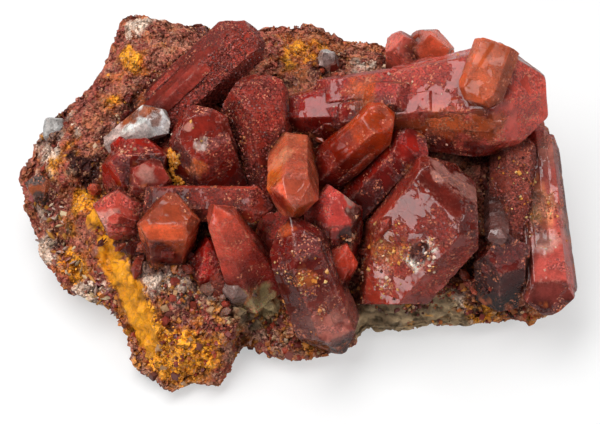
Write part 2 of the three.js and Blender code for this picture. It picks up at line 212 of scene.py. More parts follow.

# Patches of another colour on a crystal: x, y, z, radius in mm and the colour. Some are painted light:
# painted reflection on the arch, mirror and flank crystals, painted shade low on the great crystal.
GREY = (0.54, 0.220, 0.180)
SMOKE = (0.34, 0.200, 0.165)
SHADE = (0.09, 0.022, 0.017)
DEEP = (0.13, 0.009, 0.006)
GOLD = (0.55, 0.22, 0.05)
RUSTY = (0.36, 0.080, 0.022)
EMBER = (0.36, 0.055, 0.014)
WHITISH = (0.80, 0.66, 0.56)
PINK = (0.42, 0.130, 0.100)
ROSE = (0.50, 0.200, 0.160)
APRICOT = (0.58, 0.170, 0.085)
AMBER = (0.34, 0.036, 0.005)
BUFF = (0.68, 0.215, 0.110)
GARNET = (0.26, 0.020, 0.008)
TANGERINE = (0.64, 0.115, 0.016)
MOSS = (0.46, 0.340, 0.160)
PATCHES = {
    "window_crystal": ((30, -8.5, 29.5, 4.2, GREY), (26, -7, 31, 2.6, GREY), (16, -17, 20, 3.2, RUSTY),
                       (19, -16, 22, 1.6, GOLD), (21.5, -19.4, 22.4, 2.7, PINK),
                       (20.6, -20.1, 21.4, 1.5, WHITISH), (23.2, -18.4, 23.8, 1.2, WHITISH),
                       (21.3, -19.2, 22.6, 1.9, SHADE), (15.4, -20.2, 17.6, 1.8, PINK)),
    # Painted reflection on the arch crystal's upper faces: the rose, smoky and whitish patches.
    "arch_crystal": ((-18.8, 2.4, 29.6, 0.8, ROSE), (-16.4, -0.6, 28.3, 1.4, SMOKE),
                     (-15.6, 0.4, 28.8, 0.7, WHITISH), (-17.7, -4, 25, 2, RUSTY),
                     (-18.7, -5, 20.5, 3.6, DEEP)),
    "shoulder_crystal": ((5, -28.5, 14, 3.8, PINK), (-1, -16, 25, 2, EMBER), (1.5, -24, 22.5, 2.2, RUSTY)),
    "prow_crystal": ((9.5, -15.3, 21.5, 2.6, SHADE), (10.4, -12, 23, 2.4, SHADE),
                     (10, -10, 25, 1.6, SMOKE)),
    # The deep red patches low on the great crystal are painted shade on its lower faces.
    "great_crystal": ((18, 0.5, 29.5, 4, EMBER), (25.5, 0.9, 31, 4.5, EMBER), (33, 0.5, 32.5, 4, EMBER),
                      (25, -0.5, 25, 4.4, DEEP), (33, 0, 25.5, 4, DEEP), (17, -0.5, 25, 3.5, DEEP),
                      (12, 8, 31, 3.5, EMBER)),
    # Painted reflection on the flank crystal: the pink and rose patches, beside its polished plates.
    "flank_crystal": ((43.5, -7, 18, 3.8, APRICOT), (42.5, -9, 18, 1.2, GOLD), (49, -10, 15.5, 2.4, PINK),
                      (45, 3.5, 20, 3, PINK), (44.3, -14, 17.4, 2.2, ROSE)),
    "clear_sliver": ((-29.8, 8.2, 24.3, 2.0, RUSTY), (-26.5, 7.3, 27, 1.7, RUSTY),
                     (-25, 6, 26, 1.2, SMOKE)),
    # Painted reflection on the mirror crystal: the rose patch, on its polished plates.
    "mirror_crystal": ((-26, -5, 26, 2.0, ROSE),),
    "bench_crystal": ((-34.5, -11.5, 20.5, 1.8, ROSE), (-32, -10.5, 21, 1.2, ROSE)),
    "spire_crystal": ((-6.5, -23, 12, 3.2, MOSS), (-9, -23, 13.5, 2.4, MOSS)),
    "thumb_crystal": ((-23.5, -18.3, 20.5, 4.0, DEEP),),
    "lantern_crystal": ((-3.2, -4.5, 30.5, 3.0, BUFF), (-3.6, -8.5, 30, 2.8, TANGERINE),
                        (-3.0, -13.2, 29.6, 2.7, GARNET), (0.8, -15, 29, 3, EMBER)),
    "flame_crystal": ((12, 2, 32, 3.6, AMBER), (15.5, 2.5, 33, 2.4, AMBER)),
}

# Hollows in a crystal's face: x, y, z, radius and depth in mm.
HOLLOWS = {
    "window_crystal": ((21.4, -19.3, 22.6, 2.2, 1.3),),
    "arch_crystal": ((-16.6, -0.6, 28.3, 1.3, 0.4),),
}

# Druse on a crystal: the way across it that the druse grows towards, how far from the axis it begins in mm
# and its share of the coat's grains.
DRUSE = {
    "ridge_crystal": ((0.58, -0.81, -0.04), -0.8, 0.55),
    "frosted_crystal": ((-0.60, -0.70, 0.38), -1.0, 0.09),
    "dusty_crystal": ((0.0, -0.50, 0.866), -6.0, 0.3),
}
COAT_COLOUR = (0.20, 0.040, 0.030)

# Places where a crystal's plates are polished, or etched when below zero: x, y, z, radius in mm, strength.
SHOWN = {
    "great_crystal": ((1, 7.5, 27, 3.4, 0.35), (5.5, 7, 28.6, 3.0, 0.30), (12.5, 8.8, 31.5, 4.5, -0.45),
                      (19, 9.5, 33.5, 4.5, -0.45), (24.5, 10.5, 36, 3.4, -0.45),
                      (24, 5.2, 34.4, 2.6, 0.60), (21, 4.2, 33.2, 1.6, 0.35), (29, 12.5, 37.5, 3, 0.25),
                      (39, 5, 35.7, 4, 0.15)),
    "window_crystal": ((18.6, -12.6, 26.9, 2.4, 0.42), (21, -14.8, 25.6, 1.6, 0.35),
                       (25.5, -12, 30.5, 3.4, 0.30), (18, -18.5, 20.5, 4, -0.40),
                       (15, -19.8, 17.6, 2, 0.35)),
    "flank_crystal": ((43.1, -15.5, 17, 2.6, 0.70), (43.8, -22.4, 15.1, 3, 0.55), (49, -12, 15, 6, 0.40),
                      (43.6, -8, 18.2, 3.4, -0.40), (45.2, -1, 19.1, 4, 0.40)),
    "mirror_crystal": ((-26, -5, 26, 3, 0.60),),
    "ridge_crystal": ((-26, 10.3, 23.2, 3, 0.60), (-23.4, 12.2, 25, 3, 0.60), (-20, 14.2, 27.4, 3, 0.60),
                      (-16.6, 16.4, 30, 3, 0.55), (-10.5, 19.5, 32, 2.4, 0.45)),
    "thumb_crystal": ((-22.5, -16, 27, 3, 0.2),),
    "prow_crystal": ((8, -12.5, 25.4, 2.2, 0.80), (7, -15.2, 23.6, 1.8, 0.70)),
    "back_knob_left": ((19, 22, 26, 4, 0.35),),
    "back_knob_right": ((24, 22, 27, 4, 0.35),),
    "shoulder_crystal": ((1, -21, 25.5, 4, -0.15), (-1, -25, 21, 4, 0.25)),
}

# Crumbs on a crystal: x, y, z, spread in mm, count and colours.
CRUMBS = (
    ("window_crystal", 17, -17, 21, 3.2, 110, "gold"),
    ("window_crystal", 15, -20.5, 17, 2.6, 60, "cream"),
    ("window_crystal", 22, -18.5, 22.5, 2.4, 60, "cream"),
    ("window_crystal", 12, -17, 14, 3.5, 90, "rust"), ("shoulder_crystal", 2, -24, 22.5, 2.4, 80, "gold"),
    ("shoulder_crystal", -1, -21, 24, 2.4, 24, "rust"),
    ("shoulder_crystal", 4, -27.5, 17, 2.4, 50, "rust"),
    ("flank_crystal", 43.6, -8, 18.2, 2.6, 110, "gold"), ("flank_crystal", 41.5, -2, 19, 3, 60, "rust"),
    ("flank_crystal", 40, -16, 15, 4, 60, "cream"), ("prow_crystal", 9.5, -13, 20, 2.6, 70, "rust"),
    ("frosted_crystal", -8, 3, 24, 4, 60, "rust"), ("dusty_crystal", 39, -4, 22, 5, 90, "gold"),
    ("plum_crystal", 34, -18, 14, 3, 40, "rust"), ("cigar_crystal", -15, -10, 26, 8, 90, "rust"),
    ("great_crystal", 16, 7, 32, 6, 60, "cream"), ("arch_crystal", -18, 2, 27, 3, 24, "cream"),
    ("block_crystal", -28, 0, 27, 4, 24, "rust"), ("arch_crystal", -22, -1.3, 24.6, 1.0, 300, "ochre"),
    ("arch_crystal", -21.7, -3, 22, 1.0, 260, "ochre"),
)
LEAST_WEIGHT = 1e-9  # keeps the sum of the weights above zero
CRUMB_COLOURS = {
    "gold": ((0.62, 0.27, 0.05), (0.52, 0.18, 0.03), (0.66, 0.42, 0.16), (0.36, 0.08, 0.03),
             (0.28, 0.05, 0.02)),
    "cream": ((0.66, 0.48, 0.36), (0.55, 0.28, 0.20), (0.60, 0.30, 0.08), (0.34, 0.08, 0.05)),
    "rust": ((0.34, 0.08, 0.03), (0.24, 0.035, 0.02), (0.46, 0.16, 0.05), (0.50, 0.26, 0.16),
             (0.14, 0.03, 0.02)),
    "crevice": ((0.10, 0.015, 0.010), (0.22, 0.03, 0.015), (0.34, 0.09, 0.03), (0.55, 0.22, 0.04),
                (0.16, 0.04, 0.03), (0.50, 0.32, 0.20)),
    "fringe": ((0.50, 0.18, 0.03), (0.46, 0.26, 0.13), (0.28, 0.04, 0.02), (0.16, 0.05, 0.04),
               (0.42, 0.12, 0.03), (0.20, 0.03, 0.02)),
    "flake": ((0.50, 0.38, 0.27), (0.40, 0.27, 0.22), (0.32, 0.09, 0.06), (0.46, 0.34, 0.20),
              (0.24, 0.05, 0.045), (0.52, 0.22, 0.04), (0.36, 0.12, 0.08)),
    "ochre": ((0.80, 0.29, 0.02), (0.60, 0.19, 0.015), (0.72, 0.32, 0.06)),
    "seedling": ((0.16, 0.018, 0.012), (0.24, 0.035, 0.020), (0.34, 0.055, 0.025), (0.10, 0.014, 0.010),
                 (0.30, 0.14, 0.10)),
}

# The crystals of each material.
MEMBERS = {
    "glossy": (
        "great_crystal", "back_knob_left", "back_knob_right", "block_crystal", "mirror_crystal",
        "bench_crystal", "arch_crystal", "ruby_crystal", "shoulder_crystal", "prow_crystal",
        "shadow_crystal", "wine_crystal", "window_crystal", "plum_crystal", "flank_crystal", "back_chip",
        "west_point",
    ),
    "frosted": ("ridge_crystal", "frosted_crystal", "cigar_crystal", "dusty_crystal"),
    "orange": (
        "saddle_crystal", "thumb_crystal", "spire_crystal", "ember_crystal", "lantern_crystal",
        "flame_crystal",
    ),
    "clear": ("clear_sliver", "smoky_knob", "glass_prism", "west_pane", "pale_chip"),
}

# ------------------------------------------------------------------ rock: sizes

# The rock's brow, the rim where its walls meet the upper surface, as points in turn round it.
BROW = np.array([
    (-50.5, 3.5, 10), (-49, 5.5, 13), (-47.5, 9, 14), (-44.5, 13, 16), (-40.5, 15.5, 18),
    (-37.5, 17.5, 20), (-35.5, 21.5, 20), (-34, 24.5, 21), (-33, 29, 21), (-32, 32, 21),
    (-29, 32.5, 21), (-26, 31.5, 21), (-21.5, 31, 20), (-18.5, 30.5, 20), (-15, 31.5, 17),
    (-10.5, 32, 15), (-5.5, 35.5, 13), (0, 35.5, 13), (3, 36, 13), (6, 34, 13), (8.5, 32.5, 13),
    (14.5, 31.5, 13), (20, 30.5, 12), (30, 28, 12), (42, 20.5, 13), (46.5, 11, 14), (47.5, 0, 13),
    (47.5, -10, 11), (47, -17.5, 8), (45, -22, 5), (40.5, -22.5, 5), (36, -22.5, 5), (31, -23.5, 5),
    (25.5, -23.5, 5), (18.5, -24.5, 5), (13, -24.5, 5), (9.5, -27.5, 5), (7, -29, 5), (2.5, -30, 4),
    (-2, -30, 4), (-6.5, -28, 4), (-9, -27.5, 4), (-11.5, -29.5, 3), (-13, -33.5, 3), (-15, -35, 3),
    (-18, -34, 3), (-22.5, -36, 3), (-25.5, -33.5, 3), (-28.5, -31.5, 3), (-29.5, -27.5, 4),
    (-31, -24.5, 5), (-32.5, -22, 6), (-36, -20, 7), (-41, -17.5, 7), (-44, -14, 7), (-46, -12, 8),
    (-47.5, -6.5, 8), (-49.5, -1.5, 9),
], dtype=float)

# Points that the upper surface passes near.
STAKES = np.array([
    (-30, 26, 25), (-24, 24, 24), (-38, 10, 21), (-41, 3, 19), (-22, 14, 20), (-32, 4, 19),
    (-38, -3, 14), (-41, -12, 8), (-36, -16, 8), (-33, -8, 17), (-29, -17, 16), (-25, -8, 20),
    (-22, -21, 16), (-22, -28, 10), (-14, -23, 13), (-12, -14, 14), (-8, 0, 17), (-8, 10, 18),
    (-4, 24, 14), (3, 28, 14), (-6, -20, 12), (-4, -26, 7), (0, 4, 23), (2, 10, 21.5), (14, 9, 22),
    (26, 9, 21.5), (38, 9, 21), (4, -2, 21), (9, -7, 19), (7, -13, 15), (4, -18, 15), (8, -24, 8),
    (16, 22, 15), (28, 22, 15), (20, -18, 10), (28, -12, 13), (16, -22, 11), (26, -21.5, 11),
    (36, -21, 12), (38, -11, 15), (36, 0, 18), (44, 6, 16), (44, -8, 14), (43.5, -18, 11),
], dtype=float)

BASE_INSET = 0.88  # width of the base as a share of the brow's
SLOPE_WIDTH = 0.16  # share of the way inwards on which the surface climbs from the brow
CROWDING = 1.4  # how strongly the rows of the upper surface gather at the brow
WALL_ROUGHNESS = 0.6  # height of the broken surface in mm
TOP_ROUGHNESS = 0.9
WALL_ROWS, TOP_ROWS = 26, 118
GROUND_MESH = (240, 10, 60)  # columns, wall rows and top rows of the mesh that grains are strewn on

# Relief of the rock: height of each kind in mm. The lobe's small crumbs stand higher by LOBE_CRUMB, and the
# relief fades to nothing below SMOOTH_FOOT.
BIG_CRUMB, SMALL_CRUMB, TINY_CRUMB, GRIT = 0.65, 0.38, 0.16, 0.10
CREASE, BLOCK, LOBE_CRUMB, SMOOTH_FOOT = 0.8, 0.5, 0.3, 1.5

# Patterns of the rock's relief: cell in mm and seed.
BIG_CELLS, SMALL_CELLS, TINY_CELLS, GRIT_NOISE = (3.4, 501), (1.3, 511), (0.6, 531), (0.9, 521)
BLOCK_CELLS, CREASE_NOISE, CREASE_BREAKS = (2.6, 561), (2.2, 541), (0.9, 551)

# Patterns of the rock's colour: cell in mm and seed.
CLOUDS, DUSK, FLECKS, MOTTLE = (6.0, 401), (3.0, 411), (1.8, 421), (0.7, 441)
CLAST_CELLS, SPLASHES, BEDS = (1.6, 601), (1.6, 431), (5.0, 451)
RAGGED_ACROSS, RAGGED_UP = (1.7, 471), (1.7, 481)

# How far the border of a stain wanders, in mm.
STAIN_RAGGED = 1.1

# Depths below the upper surface, in mm, at which the ochre and pale stains are gone and are full.
STAIN_DEPTHS = (11, 5)

# Gaps to a crystal, in mm, at which the painted shade of a crevice begins and is full.
CREVICE_SHADE_GAPS = (2.4, 0.4)

# Stains on the rock as x, y, radius and strength.
WALL_SPOTS = np.array([
    (-36.6, -7, 1.2, 1), (-35.2, -9.6, 1.5, 1.3), (-34.2, -12, 1.6, 1.4), (-32.7, -14.6, 1.6, 1.4),
    (-31.7, -17, 1.6, 1.4), (-30.6, -19.2, 1.6, 1.4), (-29.4, -21.6, 1.6, 1.4), (-28.1, -24.2, 1.6, 1.4),
    (-26.9, -26.6, 1.6, 1.4), (-25.6, -28.8, 1.5, 1.2),
])
OCHRE_SPOTS = np.array([
    (-29.5, 19.5, 2, 1.2), (-33, 13, 1.6, 1), (-30.5, 22, 1.5, 0.9), (-41, -12.5, 2.4, 1.1),
    (-38.5, -15.5, 2, 1.1), (1, 30.5, 4, 0.8), (6.5, 28.5, 3, 0.7), (-1, 25, 4, 0.5),
    (-23.5, 0, 1.4, 1.6), (-24.5, -3.5, 1.4, 1.6), (-26, -3, 1.3, 1.2), (-35.5, -1.5, 1.5, 1.2),
    (-30, -1, 1.2, 1.4), (-9, -26.5, 2.4, 0.8), (1, -28.5, 2.4, 0.8), (4, -27.5, 2, 1),
    (-22.5, -31, 2.6, 0.9), (-19, -32.5, 2.6, 1.0), (-24, -25, 2, 0.6), (-17, -26, 1.6, 0.7),
    (-12.5, -22.5, 1.8, 0.9), (43, -23.5, 1.8, 1.2), (36, -22.5, 2.4, 0.9), (31.5, -22, 1.5, 1.3),
    (35, -23, 1.4, 1.2), (-11, -17, 1.3, 1.4), (-2, -20, 1.6, 1), (-18, -21.5, 1.6, 0.9),
    (-46, 2, 1.6, 0.7), (28, -20, 3, 0.8), (14.5, -8, 1.6, 1.4), (0.4, -7.5, 1.4, 1.4),
    (-34, 17, 4, 0.35), (-42, 8, 3, 0.6), (-41, 4, 2, 0.6), (-44, 2, 1.8, 0.8), (-39, -3.5, 1.6, 1.2),
    (-37, -3.5, 1.5, 1.4), (-35, -4.5, 1.3, 1.3), (-42, -7, 2, 0.9), (-23.5, -30.5, 2.2, 1.3),
    (-19.5, -33.2, 2.4, 1.4), (-14.5, -31, 1.8, 0.9), (-26, -31, 1.5, 0.9),
])
PALE_SPOTS = np.array([
    (-25, 30.5, 1.3, 1.6), (-30, 30, 1.6, 0.9), (-45, 10.5, 2.2, 1), (-45.5, -10, 1.8, 1.4),
    (-36, -20, 2, 1.2), (-26, -17.5, 1.8, 1), (-23, -19.5, 1.8, 1), (-47.5, 0, 1.8, 0.9),
    (-38, -18, 1.8, 1.2), (-16, -23, 2, 0.7), (-24, -14.5, 1.8, 0.8), (38, -21, 3, 0.7),
    (29, -21.2, 1.8, 1.1), (23, -21.5, 1.5, 1.0), (18, -22, 1.4, 0.8), (-45, -4.5, 2.0, 0.7),
    (-43, 4, 1.6, 0.4), (-29, 27.7, 1.6, 1.1), (12, 24, 3, 0.7), (22, 25, 4, 0.6), (-39, 8, 1.4, 0.6),
    (-46, 7, 1.8, 0.7), (-42, 12, 2, 0.6), (-20, -21.5, 2.2, 0.9), (-25, -20, 1.6, 1.0),
    (-44.5, 4, 1.6, 0.7), (-46.5, -1.5, 1.5, 0.9),
])
OLIVE_SPOTS = np.array([
    (-8, -22, 2.5, 1.5), (-5.5, -20.5, 2.5, 1.4), (-11, -23, 2, 1.1), (16, -24, 3, 1.3),
    (22, -24, 3.5, 1.4), (26.5, -24.5, 2.6, 1.3), (32, -25, 2, 0.9), (12, -24, 2, 0.9),
])
CHERT_SPOTS = np.array([(-8.5, -22.5, 1.8, 1.3), (-5, -22, 1.7, 1.3), (-11, -22.3, 1.4, 1.2)])
# Mostly painted shade, in crevices between the crystals and in hollows of the rock, and a few dark stains.
DARK_STAIN_AND_SHADE_SPOTS = np.array([
    (-38.4, 1.2, 1.5, 2.0), (-36.6, 0.3, 1.5, 2.0), (-39.8, 1.6, 1.1, 1.4), (-43, -9, 1.6, 1.2),
    (-18, -24, 3, 0.8), (-13, 18, 5, 0.9), (-16.5, -10.5, 4, 1), (1, 7.5, 5, 0.8), (28, -15, 5, 0.9),
    (-2, 22.5, 3, 0.6), (9, 23.5, 4, 0.5), (33, -19.5, 2.2, 1.2), (39.5, -21, 1.6, 0.9),
])
# Where small broken pieces lie at the front edge, and thin flakes at the left one.
FRINGE_SPOTS = np.array([
    (26, -20.5, 2.2, 1.2), (31, -21, 2.2, 1.1), (36, -22, 2.5, 1.2), (41, -22.5, 2.2, 1.2),
    (45, -23, 1.6, 1), (20, -22, 2, 0.8), (-16, -24, 3, 1), (-12, -21, 2, 1), (-20, -19, 2, 1),
    (8, -23, 2, 1), (4, -28, 2, 0.9), (-4, -24, 3, 0.9), (32, -10, 2.5, 0.8), (24, -3, 2, 0.7),
])
FLAKE_SPOTS = np.array([
    (-47.5, 0.5, 1.6, 1), (-46, -3.5, 2, 1.2), (-44.5, -8, 2.2, 1.2), (-42.5, -11.5, 2.2, 1),
    (-39.5, -15, 2.2, 1), (-36.5, -18.5, 2.0, 1.2), (-34, -20, 1.6, 1),
])

MAROON = np.array([0.315, 0.067, 0.045])
BROWN = np.array([0.450, 0.146, 0.086])
PLUM = np.array([0.180, 0.042, 0.038])
OCHRE = np.array([0.820, 0.330, 0.024])
RUST = np.array([0.400, 0.105, 0.022])
PALE = np.array([0.700, 0.520, 0.410])
OLIVE = np.array([0.420, 0.290, 0.160])
CHERT = np.array([0.560, 0.420, 0.210])
YOLK = np.array([0.920, 0.355, 0.012])
# Mostly painted shade, for crevices and hollows, and partly a dark stain.
DARK_STAIN_AND_SHADE = np.array([0.050, 0.010, 0.007])
# Painted shade, for the rock beside the crystals.
CREVICE_SHADE = np.array([0.090, 0.014, 0.008])
CLASTS = np.array([
    (0.46, 0.27, 0.19), (0.16, 0.035, 0.035), (0.46, 0.17, 0.04), (0.32, 0.06, 0.04), (0.58, 0.23, 0.03),
    (0.22, 0.05, 0.045), (0.36, 0.15, 0.11), (0.26, 0.045, 0.03),
])

# Blotches low on the walls: colour, size in mm, seed and greatest share.
BLOTCHES = ((RUST, 8.0, 491, 0.6), (PLUM, 6.0, 493, 0.7), (PALE, 7.0, 495, 0.45))
# Stains: colour, spots and the sums of spots at which the colour starts and is full. The dark one is mostly
# painted shade in crevices and hollows, partly a dark stain.
STAINS = (
    (RUST, OCHRE_SPOTS, 0.45, 1.0), (OCHRE, OCHRE_SPOTS, 0.85, 1.3), (PALE, PALE_SPOTS, 0.55, 0.9),
    (DARK_STAIN_AND_SHADE, DARK_STAIN_AND_SHADE_SPOTS, 0.35, 1.1), (OLIVE, OLIVE_SPOTS, 0.35, 0.95), (CHERT, CHERT_SPOTS, 0.6, 0.9),
    (YOLK, WALL_SPOTS, 0.75, 1.15),
)

# ------------------------------------------------------------------ repeatable noise

HASH_X, HASH_Y, HASH_Z, HASH_SEED, HASH_MIX = 73856093, 19349663, 83492791, 2654435761, 1274126177
HASH_BITS = 0xFFFFFF


def scatter(cell, seed):
    """A repeatable random number from 0 to 1 for each whole-number lattice point."""
    h = cell[..., 0] * HASH_X ^ cell[..., 1] * HASH_Y ^ cell[..., 2] * HASH_Z ^ seed * HASH_SEED
    h = (h ^ (h >> 13)) * HASH_MIX
    h ^= h >> 16
    return (h & HASH_BITS) / float(HASH_BITS)


def rolling(p, cell, seed):
    """Value noise from -1 to 1: random heights on a cubic lattice, blended smoothly between corners."""
    q = p / cell
    base = np.floor(q).astype(np.int64)
    t = q - base
    t = t * t * (3 - 2 * t)
    total = np.zeros(len(p))
    for corner in itertools.product((0, 1), repeat=3):
        share = np.prod(np.where(corner, t, 1 - t), axis=1)
        total += share * scatter(base + np.array(corner), seed)
    return total * 2 - 1


def fractal(p, cell, seed, octaves=4):
    """Noise on noise: each octave has half the cell and half the height of the last."""
    total = np.zeros(len(p))
    for octave in range(octaves):
        total += rolling(p, cell / 2**octave, seed + octave) / 2**octave
    return total / 1.6


def crumbs(p, cell, seed):
    """Broken facets: a point belongs to its nearest scattered centre and lies on its tilted plane.

    Returns the height in cells and a random number for the crumb.
    """
    q = p / cell
    base = np.floor(q).astype(np.int64)
    nearest = np.full(len(p), np.inf)
    height = np.zeros(len(p))
    tone = np.zeros(len(p))
    for offset in itertools.product((-1, 0, 1), repeat=3):
        c = base + np.array(offset)
        gap = q - c - np.stack([scatter(c, seed + n) for n in range(3)], axis=1)
        away = (gap**2).sum(axis=1)
        slope = np.stack([scatter(c, seed + 3 + n) for n in range(3)], axis=1) * 2 - 1
        chance = scatter(c, seed + 6)
        closer = away < nearest
        nearest = np.where(closer, away, nearest)
        height = np.where(closer, (gap * slope).sum(axis=1) + chance - 0.5, height)
        tone = np.where(closer, chance, tone)
    return height, tone


def step(x, low, high):
    """0 below low, 1 above high, and a smooth climb between them."""
    t = np.clip((x - low) / (high - low), 0, 1)
    return t * t * (3 - 2 * t)


def stain(p, spots):
    """Sum of soft spots at each point: strength times a bell of the spot's radius, with ragged borders."""
    across = p[:, 0] + STAIN_RAGGED * rolling(p, *RAGGED_ACROSS)
    up = p[:, 1] + STAIN_RAGGED * rolling(p, *RAGGED_UP)
    total = np.zeros(len(p))
    for x, y, radius, strength in spots:
        total += strength * np.exp(-((across - x) ** 2 + (up - y) ** 2) / (2 * radius**2))
    return total


def unit(v):
    """Vectors of length one."""
    return v / np.maximum(np.linalg.norm(v, axis=-1, keepdims=True), 1e-12)


def reach(p, x, y, z, radius):
    """How far each point lies from a place, in radii."""
    return np.linalg.norm(p - (x, y, z), axis=1) / radius


def blend(colour, shade, share):
    """Colours moved towards a shade by a share for each point."""
    return colour + (shade - colour) * share[:, None]


# ------------------------------------------------------------------ crystals: shape


def face_wave(seed, face):
    """A number from -1 to 1 for each face of a crystal, the same as in the solid."""
    return np.sin(12.9 * seed + 4.7 * face)


def crystal_planes(name):
    """The crystal's planes as outward normals and distances, from its row in the table.

    Six prism planes stand round the axis. Each has a tip plane that leans in by the constant angle of
    quartz, and at a free root end a second one. A blunt tip and the root are cut square.
    """
    root, tip, across, turn, options = CRYSTALS.get(name) or GROWTH_ROWS[name]
    root = np.array(root, dtype=float)
    axis = np.array(tip, dtype=float) - root
    length = np.linalg.norm(axis)
    axis /= length
    first = unit(FRONT - (FRONT @ axis) * axis)
    second = np.cross(axis, first)
    k = np.arange(FACES)
    phi = np.radians(turn + 60 * k)
    out = np.cos(phi)[:, None] * first + np.sin(phi)[:, None] * second
    wide = across / 2
    taper = (wide - options["root"] / 2) / length if "root" in options else 0.0
    sides = np.array(options.get("sides", 1 + 0.1 * face_wave(SEED[name], k)))
    growth = 1 + face_wave(SEED[name] + 3, k)
    lift = np.array(options.get("caps", wide * np.where(k % 2, 0.45, 0.12) * growth), dtype=float)
    prism = out - (taper * sides)[:, None] * axis
    size = np.linalg.norm(prism, axis=1)
    normals = [prism / size[:, None]]
    distances = [(wide - taper * length) * sides / size]
    lean, rise = math.cos(CAP_SLOPE), math.sin(CAP_SLOPE)
    normals.append(lean * out + rise * axis)
    distances.append(rise * (length + lift))
    if options.get("ends"):
        normals.append(lean * out - rise * axis)
        distances.append(rise * lift)
    if "blunt" in options:
        normals.append(axis[None])
        distances.append(np.array([length - options["blunt"]]))
    normals.append(-axis[None])
    distances.append(np.zeros(1))
    for cut in options.get("cuts", ()):
        away = unit(np.array([cut[:3]], dtype=float))
        normals.append(away)
        distances.append(away @ (np.array(cut[3:], dtype=float) - root))
    normals = np.concatenate(normals)
    return normals, np.concatenate(distances) + normals @ root, root, axis, length


def growth_rows():
    """Table rows of the parallel growths.

    A growth lies under one prism face of its host and stands out of it by a fraction of a millimetre. Its
    axis is the host's, moved along the face's normal, across the face and along the crystal.
    """
    rows = {}
    for host, (count, least, most) in GROWTHS.items():
        rng = np.random.default_rng(GROWTH_SEED + SEED[host])
        normals, distances, root, axis, length = crystal_planes(host)
        _, _, across, turn, options = CRYSTALS[host]
        shape = {"ends": True, "sides": (1.0,) * FACES, "cuts": options.get("cuts", ())}
        for number in range(count):
            face = rng.integers(FACES)
            out = unit(normals[face] - (normals[face] @ axis) * axis)
            radius = rng.uniform(least, most) * across / 2
            start, run = rng.uniform(*GROWTH_START), rng.uniform(*GROWTH_RUN)
            ends = root + np.array([[start], [min(start + run, GROWTH_END)]]) * length * axis
            rise = distances[face] - ends @ normals[face] - radius + rng.uniform(*GROWTH_STEP)
            slide = rng.uniform(-1, 1) * max(0.26 * across - 0.55 * radius, 0)
            first, second = ends + rise[:, None] * out + slide * np.cross(axis, out)
            if normals[face][2] > GROWTH_LOWEST:
                rows[f"{host}_growth_{number}"] = (first, second, 2 * radius, turn, shape)
    return rows


def face_corners(normals, distances):
    """The corners of each face of the convex body, in turn round its normal.

    Every three planes are solved for the point that they share. The points outside no plane are the body's
    corners, and a face has those that lie on its plane, in the order of their angles about its middle.
    """
    triples = np.array(list(itertools.combinations(range(len(normals)), 3)))
    planes = normals[triples]
    meet = np.abs(np.linalg.det(planes)) > 1e-4
    points = np.linalg.solve(planes[meet], distances[triples[meet]][..., None])[..., 0]
    points = points[(points @ normals.T <= distances + 1e-6).all(axis=1)]
    _, keep = np.unique(np.round(points, 2), axis=0, return_index=True)
    points = points[keep]
    for normal, distance in zip(normals, distances):
        ring = points[np.abs(points @ normal - distance) < 0.02]
        if len(ring) < 3:
            continue
        arm = ring - ring.mean(axis=0)
        east = unit(arm[0])
        order = np.argsort(np.arctan2(arm @ np.cross(normal, east), arm @ east))
        yield ring[order]


def crystal_surface(name, rounding, density):
    """A crystal's mesh in mm, with what its relief and colour need.

    Each face is split into one four-sided patch per corner, from the corner by the middles of its two edges
    to the middle of the face. A point of a patch is a bilinear mix of those four, with rows crowded towards
    the edges. Edges are rounded by moving each point in by rounding times the log of the sum of
    exp(-gap / rounding) over all planes.
    """
    normals, distances, root, axis, length = crystal_planes(name)
    u = np.linspace(0, 1, density + 1) ** EDGE_CROWDING
    u, v = np.meshgrid(u, u, indexing="ij")
    shares = np.stack([(1 - u) * (1 - v), u * (1 - v), u * v, (1 - u) * v])
    grids = []
    for ring in face_corners(normals, distances):
        after = (ring + np.roll(ring, -1, axis=0)) / 2
        before = (ring + np.roll(ring, 1, axis=0)) / 2
        centre = np.broadcast_to(ring.mean(axis=0), ring.shape)
        four = np.stack([ring, after, centre, before])
        grids.append(np.einsum("auv,amc->muvc", shares, four))
    points = np.concatenate(grids)
    cells = np.arange(points[..., 0].size).reshape(points.shape[:3])
    quads = np.stack([cells[:, :-1, :-1], cells[:, 1:, :-1], cells[:, 1:, 1:], cells[:, :-1, 1:]], axis=-1)
    points = points.reshape(-1, 3)
    _, keep, weld = np.unique(np.round(points, 4), axis=0, return_index=True, return_inverse=True)
    points = points[keep]
    quads = weld.reshape(-1)[quads.reshape(-1, 4)]
    gap = distances - points @ normals.T
    pull = np.exp(-gap / rounding)
    face_tone = np.random.default_rng(SEED[name]).uniform(-1, 1, len(normals))
    outward = unit(pull @ normals)
    return SimpleNamespace(
        points=points - outward * (rounding * np.log(pull.sum(axis=1)))[:, None],
        quads=quads,
        outward=outward,
        edge=np.partition(gap, 1, axis=1)[:, 1],
        tone=(pull @ face_tone) / pull.sum(axis=1),
        along=(points - root) @ axis,
        axis=axis,
        length=length,
    )


def gap_to_crystals(p, skip=None):
    """How far points lie outside the nearest crystal: the least of their greatest gaps to its planes."""
    nearest = np.full(len(p), 99.0)
    for name in CRYSTALS:
        if name != skip:
            normals, distances, _, _, _ = crystal_planes(name)
            nearest = np.minimum(nearest, (p @ normals.T - distances).max(axis=1))
    return nearest


